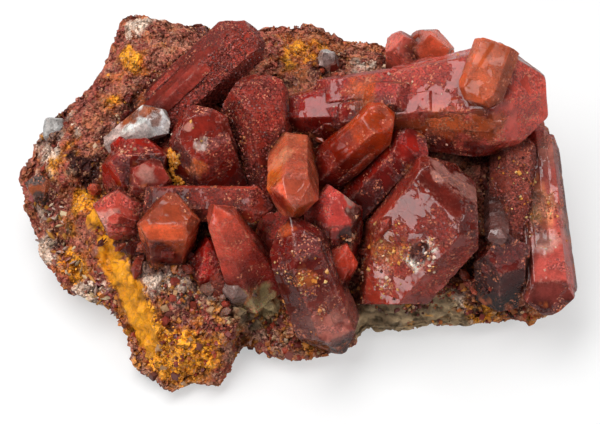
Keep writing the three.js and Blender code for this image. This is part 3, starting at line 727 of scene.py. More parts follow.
def growth_relief(name, skin):
    """Height of growth marks in mm: level steps, striations square to the axis, dents, chipped edges.

    The steps are noise rounded down, drawn out along the axis. The striations are a sine of the place along
    the axis, times noise. The chips are noise that fades with the distance from the nearest edge.
    """
    seed = 10 * SEED[name]
    turned = skin.points - 0.75 * skin.along[:, None] * skin.axis
    terrace = fractal(turned, 7.0, seed, 3) * 3
    terrace = (np.floor(terrace) + step(terrace - np.floor(terrace), 0.86, 1.0)) * TERRACE
    stria = np.sin(skin.along * 5.3 + 1.5 * rolling(turned, 2.5, seed + 3))
    stria = stria * rolling(skin.points, 3.0, seed + 4)
    chip = CHIP * step(rolling(skin.points, 1.1, seed + 5), 0.25, 0.8) * np.exp(-skin.edge / CHIP_REACH)
    swell = SWELL * rolling(skin.points, 5.0, seed + 6)
    return terrace + STRIA * stria - chip + swell


# Each growth has a seed and a row of its own, like a crystal of the table.
SEED.update({
    f"{host}_growth_{number}": 100 + 16 * SEED[host] + number
    for host, (count, _, _) in GROWTHS.items()
    for number in range(count)
})
GROWTH_ROWS = growth_rows()

# ------------------------------------------------------------------ rock: shape


def rough(p):
    """Rolling lumps and sharp ledges of the broken rock: the same sines as in the solid.

    A slow product of two sines, a folded sine, which makes the ledges, and a fast product of two sines.
    """
    x, y, z = p[..., 0], p[..., 1], p[..., 2]
    roll = np.sin(0.42 * x + 0.6 * z + 1.3) * np.sin(0.37 * y - 0.3 * z + 0.4)
    ledge = 1 - 2 * np.abs(np.sin(0.31 * x - 0.45 * y + 0.5 * z))
    crumb = np.sin(1.3 * x + 0.7 * y) * np.sin(1.1 * y - 0.9 * z + 2.0)
    return 0.7 * roll + 0.5 * ledge + 0.35 * crumb


def upland(x, y):
    """Height of the upper surface inside the brow: the mean of the stakes, weighted by nearness.

    A stake's weight is one over the square of its distance squared plus nine.
    """
    away = (x[..., None] - STAKES[:, 0]) ** 2 + (y[..., None] - STAKES[:, 1]) ** 2
    weight = 1 / (away + 9) ** 2
    return (weight * STAKES[:, 2]).sum(axis=-1) / weight.sum(axis=-1)


def brow_points(count):
    """Points evenly along the closed centripetal spline through the brow, as in the solid.

    Each span is the cubic with the places and the tangents of its ends. The tangents are those of a curve
    that takes the square root of the distance as its time from one point to the next.
    """
    p0, p1, p2, p3 = (np.roll(BROW, shift, axis=0) for shift in (1, 0, -1, -2))

    def span(a, b):
        return np.maximum(((b - a) ** 2).sum(axis=1) ** 0.25, 1e-4)[:, None]

    d01, d12, d23 = span(p0, p1), span(p1, p2), span(p2, p3)
    m1 = ((p1 - p0) / d01 - (p2 - p0) / (d01 + d12) + (p2 - p1) / d12) * d12
    m2 = ((p2 - p1) / d12 - (p3 - p1) / (d12 + d23) + (p3 - p2) / d23) * d12
    t = np.linspace(0, 1, 60, endpoint=False)[None, :, None]
    a, b, c, d = p1[:, None], m1[:, None], m2[:, None], p2[:, None]
    ease = 3 * t**2 - 2 * t**3
    fine = a * (1 - ease) + b * (t**3 - 2 * t**2 + t) + c * (t**3 - t**2) + d * ease
    fine = fine.reshape(-1, 3)
    fine = np.concatenate([fine, fine[:1]])
    run = np.concatenate([[0], np.cumsum(np.linalg.norm(np.diff(fine, axis=0), axis=1))])
    at = np.linspace(0, run[-1], count, endpoint=False)
    return np.stack([np.interp(at, run, fine[:, i]) for i in range(3)], axis=1)


def rock_rows(columns, wall_rows, top_rows):
    """The rock's surface as rows of points: base outline, wall, brow and upper surface to near the middle.

    The wall is the brow's outline times a width that grows with a quarter of a sine, at an even climb. The
    broken surface pushes it outwards, most of all halfway up. The upper surface is the outline shrunk to
    the middle, and its height goes smoothly from the brow's to the upland's.
    """
    ring = brow_points(columns)
    t = np.linspace(0, 1, wall_rows + 1)[:, None]
    width = BASE_INSET + (1 - BASE_INSET) * np.sin(t * np.pi / 2)
    wall = np.stack([ring[:, 0] * width, ring[:, 1] * width, ring[:, 2] * t], axis=-1)
    flat = wall * (1, 1, 0)
    push = WALL_ROUGHNESS * rough(wall) * np.sin(np.pi * np.minimum(t, 0.8)) * (t > 0)
    wall = wall + unit(flat) * push[..., None]
    inward = 1 - (np.arange(1, top_rows) / top_rows)[:, None] ** CROWDING
    x, y = ring[:, 0] * inward, ring[:, 1] * inward
    climb = step((1 - inward) / SLOPE_WIDTH, 0, 1)
    z = ring[:, 2] + (upland(x, y) - ring[:, 2]) * climb
    top = np.stack([x, y, z], axis=-1)
    top[..., 2] += TOP_ROUGHNESS * rough(top)
    return np.concatenate([wall, top])


def closed_loft(rows):
    """Faces of a loft whose first and last rows close on one point each, base first."""
    count, columns = rows.shape[:2]
    points = np.concatenate([[[0.0, 0.0, 0.0]], rows.reshape(-1, 3), rows[-1:].mean(axis=1)])
    at = 1 + np.arange(count * columns).reshape(count, columns)
    right = np.roll(at, -1, axis=1)
    quads = np.stack([at[:-1], at[1:], right[1:], right[:-1]], axis=-1).reshape(-1, 4)
    floor = np.stack([np.zeros(columns, dtype=int), at[0], right[0]], axis=-1)
    crown = np.stack([np.full(columns, len(points) - 1), right[-1], at[-1]], axis=-1)
    return points, quads, np.concatenate([floor, crown])


def rock_outward(rows):
    """Outward directions of the rock's points: the cross product of the two grid directions."""
    round_way = np.roll(rows, -1, axis=1) - np.roll(rows, 1, axis=1)
    up_way = np.gradient(rows, axis=0)
    outward = unit(np.cross(up_way, round_way)).reshape(-1, 3)
    return np.concatenate([[[0, 0, -1.0]], outward, [[0, 0, 1.0]]])


def lobe_share(p):
    """1 on the lower lobe and the front fringe, where the rock is a mix of clasts, and 0 elsewhere."""
    return step(p[:, 1], -15, -20) * step(p[:, 0], 10, 2)


def waxy_share(p):
    """1 on the ochre wall and the olive bedding, where the rock is smooth, and 0 elsewhere."""
    return step(np.maximum(stain(p, WALL_SPOTS), stain(p, OLIVE_SPOTS)), 0.7, 1.1)


def broken_relief(p, waxy):
    """Height of the rock's relief in mm, and how light its colour is at each point.

    Crumbs of three sizes and grit stand on the bare rock, and creased blocks on the waxy parts. Each crumb
    and block has its own tone, and painted shade darkens the creases.
    """
    big, _ = crumbs(p, *BIG_CELLS)
    small, tone = crumbs(p, *SMALL_CELLS)
    tiny, _ = crumbs(p, *TINY_CELLS)
    block, block_tone = crumbs(p, *BLOCK_CELLS)
    crease = np.abs(rolling(p, *CREASE_NOISE)) - np.abs(rolling(p, *CREASE_BREAKS)) * 0.5
    lift = SMALL_CRUMB * small + TINY_CRUMB * tiny + GRIT * fractal(p, *GRIT_NOISE)
    lift = BIG_CRUMB * big + (1 - 0.6 * waxy) * lift
    lift += waxy * (CREASE * crease + BLOCK * block)
    lift += lobe_share(p) * LOBE_CRUMB * small
    shade = 0.8 + 0.4 * tone * (1 - waxy) + 0.3 * block_tone * waxy
    # Painted shade in the creases of the waxy parts.
    shade *= 1 - 0.55 * waxy * step(crease, 0.04, -0.16)
    return lift * np.minimum(1, p[:, 2] / SMOOTH_FOOT), shade


def rock_colour(p):
    """Colour of the rock at each point.

    Maroon and brown clouds and single clasts come first, then blotches low on the walls, then stains, of
    which the ochre and pale ones fade down the walls and the dark one is mostly painted shade, then painted
    shade in the crevices near the crystals.
    """
    colour = blend(MAROON, BROWN, step(fractal(p, *CLOUDS), -0.35, 0.45))
    colour = blend(colour, PLUM, 0.7 * step(fractal(p, *DUSK), 0.15, 0.6))
    _, chance = crumbs(p, *CLAST_CELLS)
    clast = CLASTS[np.minimum((chance * len(CLASTS)).astype(int), len(CLASTS) - 1)]
    colour = blend(colour, clast, 0.25 + 0.45 * lobe_share(p))
    fleck = fractal(p, *FLECKS)
    shallow = step(upland(p[:, 0], p[:, 1]) - p[:, 2] + 3 * fleck, *STAIN_DEPTHS)
    for shade, cell, seed, most in BLOTCHES:
        colour = blend(colour, shade, step(fractal(p, cell, seed), 0.12, 0.42) * (1 - shallow) * most)
    for shade, spots, low, high in STAINS:
        amount = step(stain(p, spots) + 0.7 * fleck, low, high)
        if spots is OCHRE_SPOTS or spots is PALE_SPOTS:
            amount = amount * shallow
        colour = blend(colour, shade, amount)
    bedding = np.sin(3.4 * p[:, 2] + 2.2 * fractal(p, *BEDS)) * step(stain(p, OLIVE_SPOTS), 0.3, 0.9)
    colour = colour * (1 + 0.35 * bedding)[:, None]
    colour = blend(colour, OCHRE, 0.8 * step(fractal(p, *SPLASHES), 0.52, 0.7))
    # Painted shade: the rock darkens towards the crystals, in the crevices between them.
    near = step(gap_to_crystals(p) + 0.8 * fleck, *CREVICE_SHADE_GAPS) * (1 - 0.9 * waxy_share(p))
    colour = blend(colour, CREVICE_SHADE, 0.9 * near)
    colour = colour * (1 + 0.25 * rolling(p, *MOTTLE)[:, None])
    return colour * np.array(bpy.context.scene.quartz.rock_tint)


# ------------------------------------------------------------------ meshes


def place_object(name, data):
    """An object for a mesh, light or camera, linked to the scene."""
    thing = bpy.data.objects.new(name, data)
    bpy.context.scene.collection.objects.link(thing)
    return thing


def new_piece(name, points_mm, faces, material, slot, nodes, colour, smooth=True, grow=None, **masks):
    """Make a mesh of points and faces, with its attributes and material, that rides on the specimen.

    Nodes are the solids that it replaces. Nothing reaches below the ground.
    """
    mesh = bpy.data.meshes.new(name)
    mesh.from_pydata(np.maximum(points_mm, (-np.inf, -np.inf, 0)) * MM, [], faces)
    layer = mesh.color_attributes.new("tint", "FLOAT_COLOR", "POINT")
    rgba = np.ones((len(points_mm), 4), dtype=np.float32)
    rgba[:, :3] = np.clip(colour, 0, 1)
    layer.data.foreach_set("color", rgba.ravel())
    if grow is not None:
        layer = mesh.attributes.new("grow", "FLOAT_VECTOR", "POINT")
        layer.data.foreach_set("vector", grow.astype(np.float32).ravel())
    for key, value in masks.items():
        mesh.attributes.new(key, "FLOAT", "POINT").data.foreach_set("value", value.astype(np.float32))
    mesh.polygons.foreach_set("use_smooth", np.full(len(mesh.polygons), smooth, dtype=int))
    mesh.update()
    mesh.materials.append(material)
    piece = place_object(name, mesh)
    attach(piece, BODY)
    if nodes:
        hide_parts(*nodes)


def crystal_tint(name, skin):
    """Colour of a crystal and its growths.

    It runs from root to tip, with a tone for each face, slow clouds and the patches of the table. Where the
    crystal meets the rock or another crystal it is darkened with painted shade and crusted.
    """
    root_tint, tip_tint, _, _ = LOOKS[name]
    p = skin.points

    def clouds(pattern):
        cell, shift = pattern
        return fractal(p, cell, SEED[name] + shift)

    share = step(skin.along / skin.length + 0.3 * clouds(TINT_DRIFT), 0.15, 0.9)
    tint = blend(np.array(root_tint), tip_tint, share)
    for x, y, z, radius, shade in PATCHES.get(name, ()):
        ragged = reach(p, x, y, z, radius) + 0.75 * clouds(PATCH_EDGE)
        tint = blend(tint, shade, step(ragged, 1.15, 0.75))
    tint = tint * ((1 + FACE_TONE * skin.tone) * (1 + CLOUD_TONE * clouds(TINT_CLOUDS)))[:, None]
    # Painted shade: darker low down by the rock and beside other crystals; the same mask lays the rusty
    # crust.
    buried = step(p[:, 2] - upland(p[:, 0], p[:, 1]) + rolling(p, *BURIAL_NOISE), *SHADE_AND_CRUST_HEIGHTS)
    beside = step(gap_to_crystals(p, name), *SHADE_AND_CRUST_GAPS)
    shade_and_crust = np.maximum(buried, 0.85 * beside) * (CLEAR_SHADE_AND_CRUST if name in MEMBERS["clear"] else 1)
    crust = step(shade_and_crust + 0.9 * clouds(CRUST), 1.0, 1.35)
    tint = blend(tint * (1 - CONTACT_SHADE_TONE * shade_and_crust)[:, None], RUSTY, 0.8 * crust)
    return tint * np.array(bpy.context.scene.quartz.quartz_tint)


def relieved_surface(name, rounding, density):
    """A crystal's mesh with its growth marks added."""
    skin = crystal_surface(name, rounding, density)
    skin.relieved = skin.points + skin.outward * growth_relief(name, skin)[:, None]
    return skin


def crystal_piece(name, kind):
    """One crystal and its growths in one mesh: surfaces with growth marks and hollows, and their colour.

    Growth coordinates are shrunk square to the axis, so that marks come out long across the prism.
    """
    _, _, rounding, density = LOOKS[name]
    _, _, root, axis, length = crystal_planes(name)
    skins = [relieved_surface(name, rounding, density)]
    for row in GROWTH_ROWS:
        if row.startswith(name + "_growth"):
            skins.append(relieved_surface(row, GROWTH_ROUNDING * rounding, GROWTH_DENSITY))
    starts = np.cumsum([0] + [len(skin.points) for skin in skins])
    quads = np.concatenate([skin.quads + start for skin, start in zip(skins, starts)])
    whole = SimpleNamespace(length=length)
    for key in ("points", "relieved", "outward", "edge", "tone"):
        setattr(whole, key, np.concatenate([getattr(skin, key) for skin in skins]))
    whole.along = (whole.points - root) @ axis
    points = whole.relieved
    for x, y, z, radius, depth in HOLLOWS.get(name, ()):
        away = reach(whole.points, x, y, z, radius) + 0.5 * fractal(whole.points, 1.6, 710)
        points = points - whole.outward * (depth * step(away, 1.1, 0.4))[:, None]
    shown = np.zeros(len(points))
    for x, y, z, radius, strength in SHOWN.get(name, ()):
        shown += strength * np.exp(-reach(whole.points, x, y, z, radius) ** 4)
    grow = 0.6 * whole.points + 0.4 * whole.along[:, None] * axis + 7.3 * SEED[name]
    new_piece(
        name + "_faces", points, quads.tolist(), materials()[kind], kind + "_quartz",
        (HOST.get(name, name),), crystal_tint(name, whole),
        edge=np.exp(-whole.edge / EDGE_REACH), shown=shown, grow=grow,
    )


def grain_template(sides, shoulder, point):
    """A tiny crystal standing in the origin, as a closed mesh: a prism up to the shoulder, then a point."""
    angle = np.arange(sides) * 2 * np.pi / sides
    ring = np.stack([np.cos(angle), np.sin(angle), np.zeros(sides)], axis=1)
    ends = [[0, 0, point], [0, 0, -0.5]]
    points = np.concatenate([ring * 0.42 - (0, 0, 0.5), ring * 0.5 + (0, 0, shoulder), ends])
    a = np.arange(sides)
    b = (a + 1) % sides
    top, bottom = np.full((2, sides), [[2 * sides], [2 * sides + 1]])
    corners = ((a, b, b + sides), (a, b + sides, a + sides), (a + sides, b + sides, top), (b, a, bottom))
    return points, np.concatenate([np.stack(three, axis=1) for three in corners])


# Least and greatest stretch of a grain across, the other way across and along.
LEAST_STRETCH, MOST_STRETCH = (1, 0.7, 0.8), (1, 1.1, 1.4)
GROUND_ROUNDING, GROUND_DENSITY = 0.2, 10
GRAIN = grain_template(4, 0.05, 0.30)
CLAST = grain_template(4, 0.10, 0.24)
FLAKE = (CLAST[0] * (1.0, 0.35, 1.0), CLAST[1])
SEEDLING = grain_template(6, 0.75, 1.20)


def grain_field(template, places, outward, size, lean, rng):
    """Copies of a template, each turned at random about its own direction near the surface normal.

    A copy is the template times its stretch, laid along three square axes from its place.
    """
    up = unit(outward + lean * rng.normal(size=places.shape))
    side = unit(np.cross(up, rng.normal(size=places.shape)))
    axes = np.stack([side, np.cross(up, side), up], axis=1)
    shape, triangles = template
    stretch = size[:, None] * rng.uniform(LEAST_STRETCH, MOST_STRETCH, (len(size), 3))
    points = np.einsum("gvi,gic->gvc", shape[None] * stretch[:, None], axes) + places[:, None]
    faces = triangles[None] + (np.arange(len(places)) * len(shape))[:, None, None]
    return points.reshape(-1, 3), faces.reshape(-1, 3), len(shape)


def random_places(points, quads, count, rng, weight):
    """Random points on a mesh, by area and a weight per quad, with their normals.

    A point is the bilinear mix of its quad's corners with two random shares.
    """
    a, b, c, d = (points[quads[:, i]] for i in range(4))
    across = np.cross(c - a, d - b)
    chance = np.linalg.norm(across, axis=1) * weight
    pick = rng.choice(len(quads), size=count, p=chance / chance.sum())
    u, v = rng.random((2, count, 1))
    place = (1 - u) * (1 - v) * a[pick] + u * (1 - v) * b[pick] + u * v * c[pick] + (1 - u) * v * d[pick]
    return place, unit(across[pick])


def painter(colours, least, most):
    """A painter of grains: for each a colour from the list, or else the rock's own, with a random tone."""

    def paint(rng, place):
        base = rock_colour(place) if colours is None else rng.choice(np.array(colours), len(place))
        return base * rng.uniform(least, most, (len(place), 1))

    return paint


def strew(name, ground, weight, count, rng, habit, paint, kind="grains", slot="matrix_rock"):
    """Strew small crystals at random over a surface, as one piece.

    The habit is their template, size in mm, spread of sizes, least and greatest size as shares, and lean.
    """
    template, size, spread, limits, lean = habit
    place, outward = random_places(*ground, count, rng, weight)
    sizes = size * rng.lognormal(0, spread, count).clip(*limits)
    field, faces, each = grain_field(template, place, outward, sizes, lean, rng)
    colour = np.repeat(paint(rng, place), each, axis=0)
    grow = field if kind == "glossy" else None
    new_piece(name, field, faces.tolist(), materials()[kind], slot, (), colour, False, grow)


def rock_ground():
    """A coarse mesh of the rock to strew on, and the middles of its quads."""
    points, quads, _ = closed_loft(rock_rows(*GROUND_MESH))
    return (points, quads), points[quads].mean(axis=1)


def crystal_ground(name):
    """A coarse mesh of a crystal to strew on, and the middles of its quads."""
    skin = crystal_surface(name, GROUND_ROUNDING, GROUND_DENSITY)
    return (skin.points, skin.quads), skin.points[skin.quads].mean(axis=1)


# ------------------------------------------------------------------ materials

FLOAT = "NodeSocketFloat"
COLOUR = "NodeSocketColor"
VECTOR = "NodeSocketVector"

# Colours of worn edges, partly a painted edge highlight, of specks, partly painted glints, and of wisps and
# glints.
WORN_EDGE_HIGHLIGHT = (0.62, 0.26, 0.20, 1)
SPECK_GLINT = (0.66, 0.22, 0.12, 1)
WISP = (0.50, 0.20, 0.15, 1)
CLEAR_WISP = (0.88, 0.82, 0.78, 1)
GLINT = (0.60, 0.30, 0.17, 1)
WHITE = (1, 1, 1, 1)

QUARTZ_IOR = 1.544
CLEARNESS = 0.35  # share of plain transmission in the clear quartz
GLOW_REACH = (1.0, 0.15, 0.06)  # how far red, green and blue light spread, as shares of GLOW_DEPTH
GLOW_DEPTH = 2.0  # mm
POLISHED_FROM, POLISHED_TO = 1.58, 1.64
PLATE_STEP, ETCH_DEPTH = 0.16, 0.22  # mm


class Wiring:
    """Adds nodes to a tree: each call makes one node, sets it, and joins or fills its inputs."""

    def __init__(self, tree):
        self.tree = tree

    def fill(self, inputs, values):
        """Link each value that is a socket to the input with its key, and set the others."""
        for key, value in values.items():
            if isinstance(value, bpy.types.NodeSocket):
                self.tree.links.new(value, inputs[key])
            else:
                inputs[key].default_value = value

    def add(self, kind, settings=None, inputs=None):
        """A new node of a kind, with its settings and inputs."""
        node = self.tree.nodes.new(kind)
        for key, value in (settings or {}).items():
            setattr(node, key, value)
        self.fill(node.inputs, inputs or {})
        return node

    def group(self, tree, **inputs):
        """The outputs of a node group."""
        return self.add("ShaderNodeGroup", {"node_tree": tree}, inputs).outputs

    def attribute(self, name, output="Fac"):
        """A value that the mesh holds at each point."""
        return self.add("ShaderNodeAttribute", {"attribute_name": name}).outputs[output]

    def maths(self, operation, a, b=0.0, c=0.0):
        """A sum, product or the like of numbers."""
        return self.add("ShaderNodeMath", {"operation": operation}, {0: a, 1: b, 2: c}).outputs[0]

    def vector(self, operation, a, b):
        """The outputs of a vector operation."""
        return self.add("ShaderNodeVectorMath", {"operation": operation}, {0: a, 1: b}).outputs

    def scale(self, colour, share):
        """A colour or vector times a number."""
        inputs = {0: colour, "Scale": share}
        return self.add("ShaderNodeVectorMath", {"operation": "SCALE"}, inputs).outputs[0]

    def noise(self, place, scale, detail, roughness=0.5, distortion=0.0):
        """Cloudy noise from 0 to 1."""
        inputs = {"Vector": place, "Scale": scale, "Detail": detail, "Roughness": roughness,
                  "Distortion": distortion}
        return self.add("ShaderNodeTexNoise", None, inputs).outputs["Fac"]

    def spread(self, value, low, high, to_low=0.0, to_high=1.0):
        """A value's range moved to another one, with a smooth climb between its ends."""
        inputs = {"Value": value, "From Min": low, "From Max": high, "To Min": to_low, "To Max": to_high}
        node = self.add("ShaderNodeMapRange", {"interpolation_type": "SMOOTHSTEP"}, inputs)
        return node.outputs["Result"]

    def mix(self, share, a, b):
        """A mix of two colours by a share."""
        node = self.add("ShaderNodeMix", {"data_type": "RGBA"})
        sockets = {socket.identifier: socket for socket in node.inputs}
        self.fill(sockets, {"Factor_Float": share, "A_Color": a, "B_Color": b})
        return next(socket for socket in node.outputs if socket.identifier == "Result_Color")

    def tilted_cells(self, place, size, distance):
        """Cells of a size in mm: a point's height on its cell's tilted plane, and three random numbers."""
        cells = self.add("ShaderNodeTexVoronoi", {"feature": "F1", "distance": distance},
                         {"Vector": place, "Scale": self.maths("DIVIDE", 1.0, size)}).outputs
        arm = self.vector("SUBTRACT", place, cells["Position"])[0]
        lean = self.vector("SUBTRACT", cells["Color"], (0.5, 0.5, 0.5))[0]
        rise = self.vector("DOT_PRODUCT", arm, lean)["Value"]
        return rise, self.add("ShaderNodeSeparateColor", None, {"Color": cells["Color"]}).outputs


def new_group(name, inputs, outputs):
    """A shader node group with named sockets: its wiring, its given inputs and its outputs to fill."""
    tree = bpy.data.node_groups.new(name, "ShaderNodeTree")
    for key, (kind, default) in inputs.items():
        socket = tree.interface.new_socket(key, in_out="INPUT", socket_type=kind)
        if default is not None:
            socket.default_value = default
    for key, kind in outputs.items():
        tree.interface.new_socket(key, in_out="OUTPUT", socket_type=kind)
    w = Wiring(tree)
    return w, w.add("NodeGroupInput").outputs, w.add("NodeGroupOutput").inputs


def facets_group():
    """Broken facets of a given size: each cell is a plane with its own tilt. Height is in mm."""
    w, given, out = new_group(
        "Facets", {"Place": (VECTOR, None), "Size": (FLOAT, 0.4), "Tilt": (FLOAT, 0.3)},
        {"Height": FLOAT, "Tone": FLOAT, "Chance": FLOAT},
    )
    rise, chances = w.tilted_cells(given["Place"], given["Size"], "EUCLIDEAN")
    height = w.maths("MULTIPLY", rise, w.maths("MULTIPLY", given["Tilt"], 2.0))
    w.fill(out, {"Height": height, "Tone": chances[0], "Chance": chances[1]})
    return w.tree


def plates_group():
    """Growth plates: blocky polished islands, each slightly tilted, on etched ground. Height is in mm.

    A cell is polished where the sum of its random number, noise, Share and Shown passes a threshold.
    """
    w, given, out = new_group(
        "Plates",
        {"Grow": (VECTOR, None), "Place": (VECTOR, None), "Size": (FLOAT, 3.0), "Share": (FLOAT, 0.5),
         "Tilt": (FLOAT, 0.05), "Shown": (FLOAT, 0.0)},
        {"Polish": FLOAT, "Height": FLOAT},
    )
    cloud = w.noise(given["Grow"], w.maths("DIVIDE", 2.2, given["Size"]), 5.0, 0.68)
    rise, chances = w.tilted_cells(given["Grow"], given["Size"], "CHEBYCHEV")
    chance = w.maths("MULTIPLY_ADD", chances[2], 0.7, given["Share"])
    ragged = w.maths("MULTIPLY_ADD", cloud, 1.5, chance)
    polish = w.spread(w.maths("ADD", ragged, given["Shown"]), POLISHED_FROM, POLISHED_TO)
    etched = w.maths("SUBTRACT", 1.0, polish)
    ground = w.maths("MULTIPLY", etched, w.noise(given["Place"], 3.2, 3.0, 0.6))
    height = w.maths("MULTIPLY_ADD", ground, ETCH_DEPTH, w.maths("MULTIPLY", rise, given["Tilt"]))
    w.fill(out, {"Height": w.maths("MULTIPLY_ADD", polish, PLATE_STEP, height), "Polish": polish})
    return w.tree


def veil_group():
    """Veils and clouds inside the stone: a colour dimmed by slow and fast noise, with wisps of another."""
    w, given, out = new_group(
        "Veil",
        {"Place": (VECTOR, None), "Tint": (COLOUR, None), "Wisp": (COLOUR, WISP), "Depth": (FLOAT, 0.5),
         "Wisps": (FLOAT, 0.2)},
        {"Colour": COLOUR},
    )
    slow = w.maths("MULTIPLY", w.noise(given["Place"], 0.35, 5.0, 0.62), 0.65)
    cloud = w.maths("MULTIPLY_ADD", w.noise(given["Place"], 2.6, 3.0, 0.7), 0.35, slow)
    darkest = w.maths("SUBTRACT", 1.0, given["Depth"])
    lightest = w.maths("ADD", 1.0, given["Depth"])
    shaded = w.scale(given["Tint"], w.spread(cloud, 0.38, 0.62, darkest, lightest))
    wisp = w.spread(w.noise(given["Place"], 0.9, 6.0, 0.7, 1.5), 0.57, 0.70)
    w.fill(out, {"Colour": w.mix(w.maths("MULTIPLY", wisp, given["Wisps"]), shaded, given["Wisp"])})
    return w.tree


def wear_group():
    """Worn edges with a painted edge highlight: the piece's edge mask broken up by noise."""
    w, given, out = new_group(
        "Edge wear", {"Place": (VECTOR, None), "Edge": (FLOAT, 0.0), "Amount": (FLOAT, 0.5)},
        {"Mask": FLOAT},
    )
    gaps = w.spread(w.noise(given["Place"], 1.8, 4.0, 0.7), 0.46, 0.64)
    w.fill(out, {"Mask": w.maths("MULTIPLY", w.maths("MULTIPLY", given["Edge"], gaps), given["Amount"])})
    return w.tree


def new_material(name):
    """A material, its wiring, and the inputs of its Principled shader."""
    material = bpy.data.materials.new(name)
    material.use_nodes = True
    return material, Wiring(material.node_tree), material.node_tree.nodes["Principled BSDF"].inputs


def place_mm(w):
    """The place of each point in mm."""
    return w.scale(w.add("ShaderNodeTexCoord").outputs["Object"], 1 / MM)


def relief(w, height):
    """The normal for a height in mm."""
    inputs = {"Strength": 1.0, "Distance": MM, "Height": height}
    return w.add("ShaderNodeBump", None, inputs).outputs["Normal"]


def quartz_material(name, groups, look):
    """Red quartz: veiled colour, polished plates on etched ground, fine facets, specks that are partly
    painted glints, pale worn edges that are partly a painted edge highlight.
    """
    material, w, shader = new_material(name)
    place = place_mm(w)
    veil = w.group(groups["veil"], Place=place, Tint=w.attribute("tint", "Color"), Depth=look.depth,
                   Wisps=look.wisps)
    plates = w.group(groups["plates"], Grow=w.attribute("grow", "Vector"), Place=place, Size=look.plate,
                     Share=look.share, Tilt=look.tilt, Shown=w.attribute("shown"))
    facets = w.group(groups["facets"], Place=place, Size=look.grain, Tilt=look.grain_tilt)
    # Painted highlight: the pale edges are partly wear and partly a painted edge highlight.
    wear = w.group(groups["wear"], Place=place, Edge=w.attribute("edge"), Amount=look.wear)
    etched = w.maths("SUBTRACT", 1.0, plates["Polish"])
    sugar = w.maths("MULTIPLY", w.spread(facets["Tone"], 0.0, 1.0, -look.mottle, look.mottle), etched)
    colour = w.scale(w.mix(wear["Mask"], veil["Colour"], WORN_EDGE_HIGHLIGHT), w.maths("ADD", 1.0, sugar))
    # Partly painted glints: pale specks on the etched ground.
    cluster = w.maths("MULTIPLY", etched, w.spread(w.noise(place, 0.4, 3.0), 0.44, 0.58))
    speck = w.spread(facets["Chance"], 1 - look.specks, 1 - look.specks * 0.8)
    w.fill(shader, {
        "Base Color": w.mix(w.maths("MULTIPLY", speck, cluster), colour, SPECK_GLINT),
        "Roughness": w.spread(plates["Polish"], 0.0, 1.0, look.matt, look.satin),
        "Normal": relief(w, w.maths("MULTIPLY_ADD", facets["Height"], etched, plates["Height"])),
        "IOR": look.ior,
        "Subsurface Weight": look.glow,
        "Subsurface Radius": GLOW_REACH,
        "Subsurface Scale": GLOW_DEPTH * MM,
    })
    return material


def clear_material(groups):
    """Clear quartz: plain transmission, with whitish veils and faint etching."""
    material, w, shader = new_material("Clear quartz")
    place = place_mm(w)
    veil = w.group(groups["veil"], Place=place, Tint=w.attribute("tint", "Color"), Wisp=CLEAR_WISP,
                   Depth=0.45, Wisps=0.6)
    plates = w.group(groups["plates"], Grow=w.attribute("grow", "Vector"), Place=place, Size=1.1, Share=0.5,
                     Tilt=0.7)
    w.fill(shader, {
        "Base Color": veil["Colour"],
        "Roughness": w.spread(plates["Polish"], 0.0, 1.0, 0.32, 0.06),
        "Normal": relief(w, plates["Height"]),
        "IOR": QUARTZ_IOR,
        "Transmission Weight": CLEARNESS,
    })
    return material


def rock_material(groups, settings):
    """Granular rock: a tone per grain on its tint, glinting grains and faceted relief, calm where waxy."""
    material, w, shader = new_material("Matrix rock")
    place = place_mm(w)
    loose = w.maths("SUBTRACT", 1.0, w.maths("MULTIPLY", w.attribute("waxy"), 0.75))
    coarse = w.group(groups["facets"], Place=place, Size=settings.grain * 2.2, Tilt=0.35)
    fine = w.group(groups["facets"], Place=place, Size=settings.grain, Tilt=0.55)
    tone = w.maths("MULTIPLY_ADD", coarse["Tone"], 0.5, w.maths("MULTIPLY", fine["Tone"], 0.5))
    tone = w.maths("MULTIPLY_ADD", w.spread(tone, 0.1, 0.9, -0.55, 0.65), loose, 1.0)
    glint = w.maths("MULTIPLY", w.spread(fine["Chance"], 0.84, 0.88), w.maths("MULTIPLY", loose, 0.7))
    height = w.maths("MULTIPLY", w.maths("ADD", coarse["Height"], fine["Height"]), loose)
    w.fill(shader, {
        "Base Color": w.mix(glint, w.scale(w.attribute("tint", "Color"), tone), GLINT),
        "Roughness": w.spread(coarse["Chance"], 0.7, 0.75, 0.6, 0.22),
        "Normal": relief(w, height),
        "Specular IOR Level": 0.25,
    })
    return material


def grain_material():
    """Druse grains: glassy little crystals, each with its own tint."""
    material, w, shader = new_material("Druse grains")
    tint = w.attribute("tint", "Color")
    w.fill(shader, {"Base Color": tint, "Roughness": 0.32, "Specular IOR Level": 0.4})
    return material


# How each red quartz looks: depth of the veils, share of wisps; size in mm, share and tilt of the plates;
# size in mm, tilt and tone of the etched facets; edge wear with its painted edge highlight; share of
# specks, which are partly painted glints; roughness where etched and where polished; IOR; share of the
# glow.
GLOSSY_LOOK = SimpleNamespace(
    depth=0.28, wisps=0.12, plate=2.0, share=0.48, tilt=0.18, grain=0.28, grain_tilt=0.36, mottle=0.36,
    wear=0.45, specks=0.18, matt=0.30, satin=0.09, ior=1.46, glow=0.25,
)
FROSTED_LOOK = SimpleNamespace(
    depth=0.34, wisps=0.10, plate=2.0, share=0.36, tilt=0.16, grain=0.24, grain_tilt=0.50, mottle=0.45,
    wear=0.35, specks=0.14, matt=0.42, satin=0.26, ior=1.36, glow=0.12,
)
ORANGE_LOOK = SimpleNamespace(
    depth=0.28, wisps=0.10, plate=2.4, share=0.52, tilt=0.14, grain=0.30, grain_tilt=0.14, mottle=0.12,
    wear=0.40, specks=0.12, matt=0.30, satin=0.12, ior=1.38, glow=0.35,
)
MATERIALS = {}


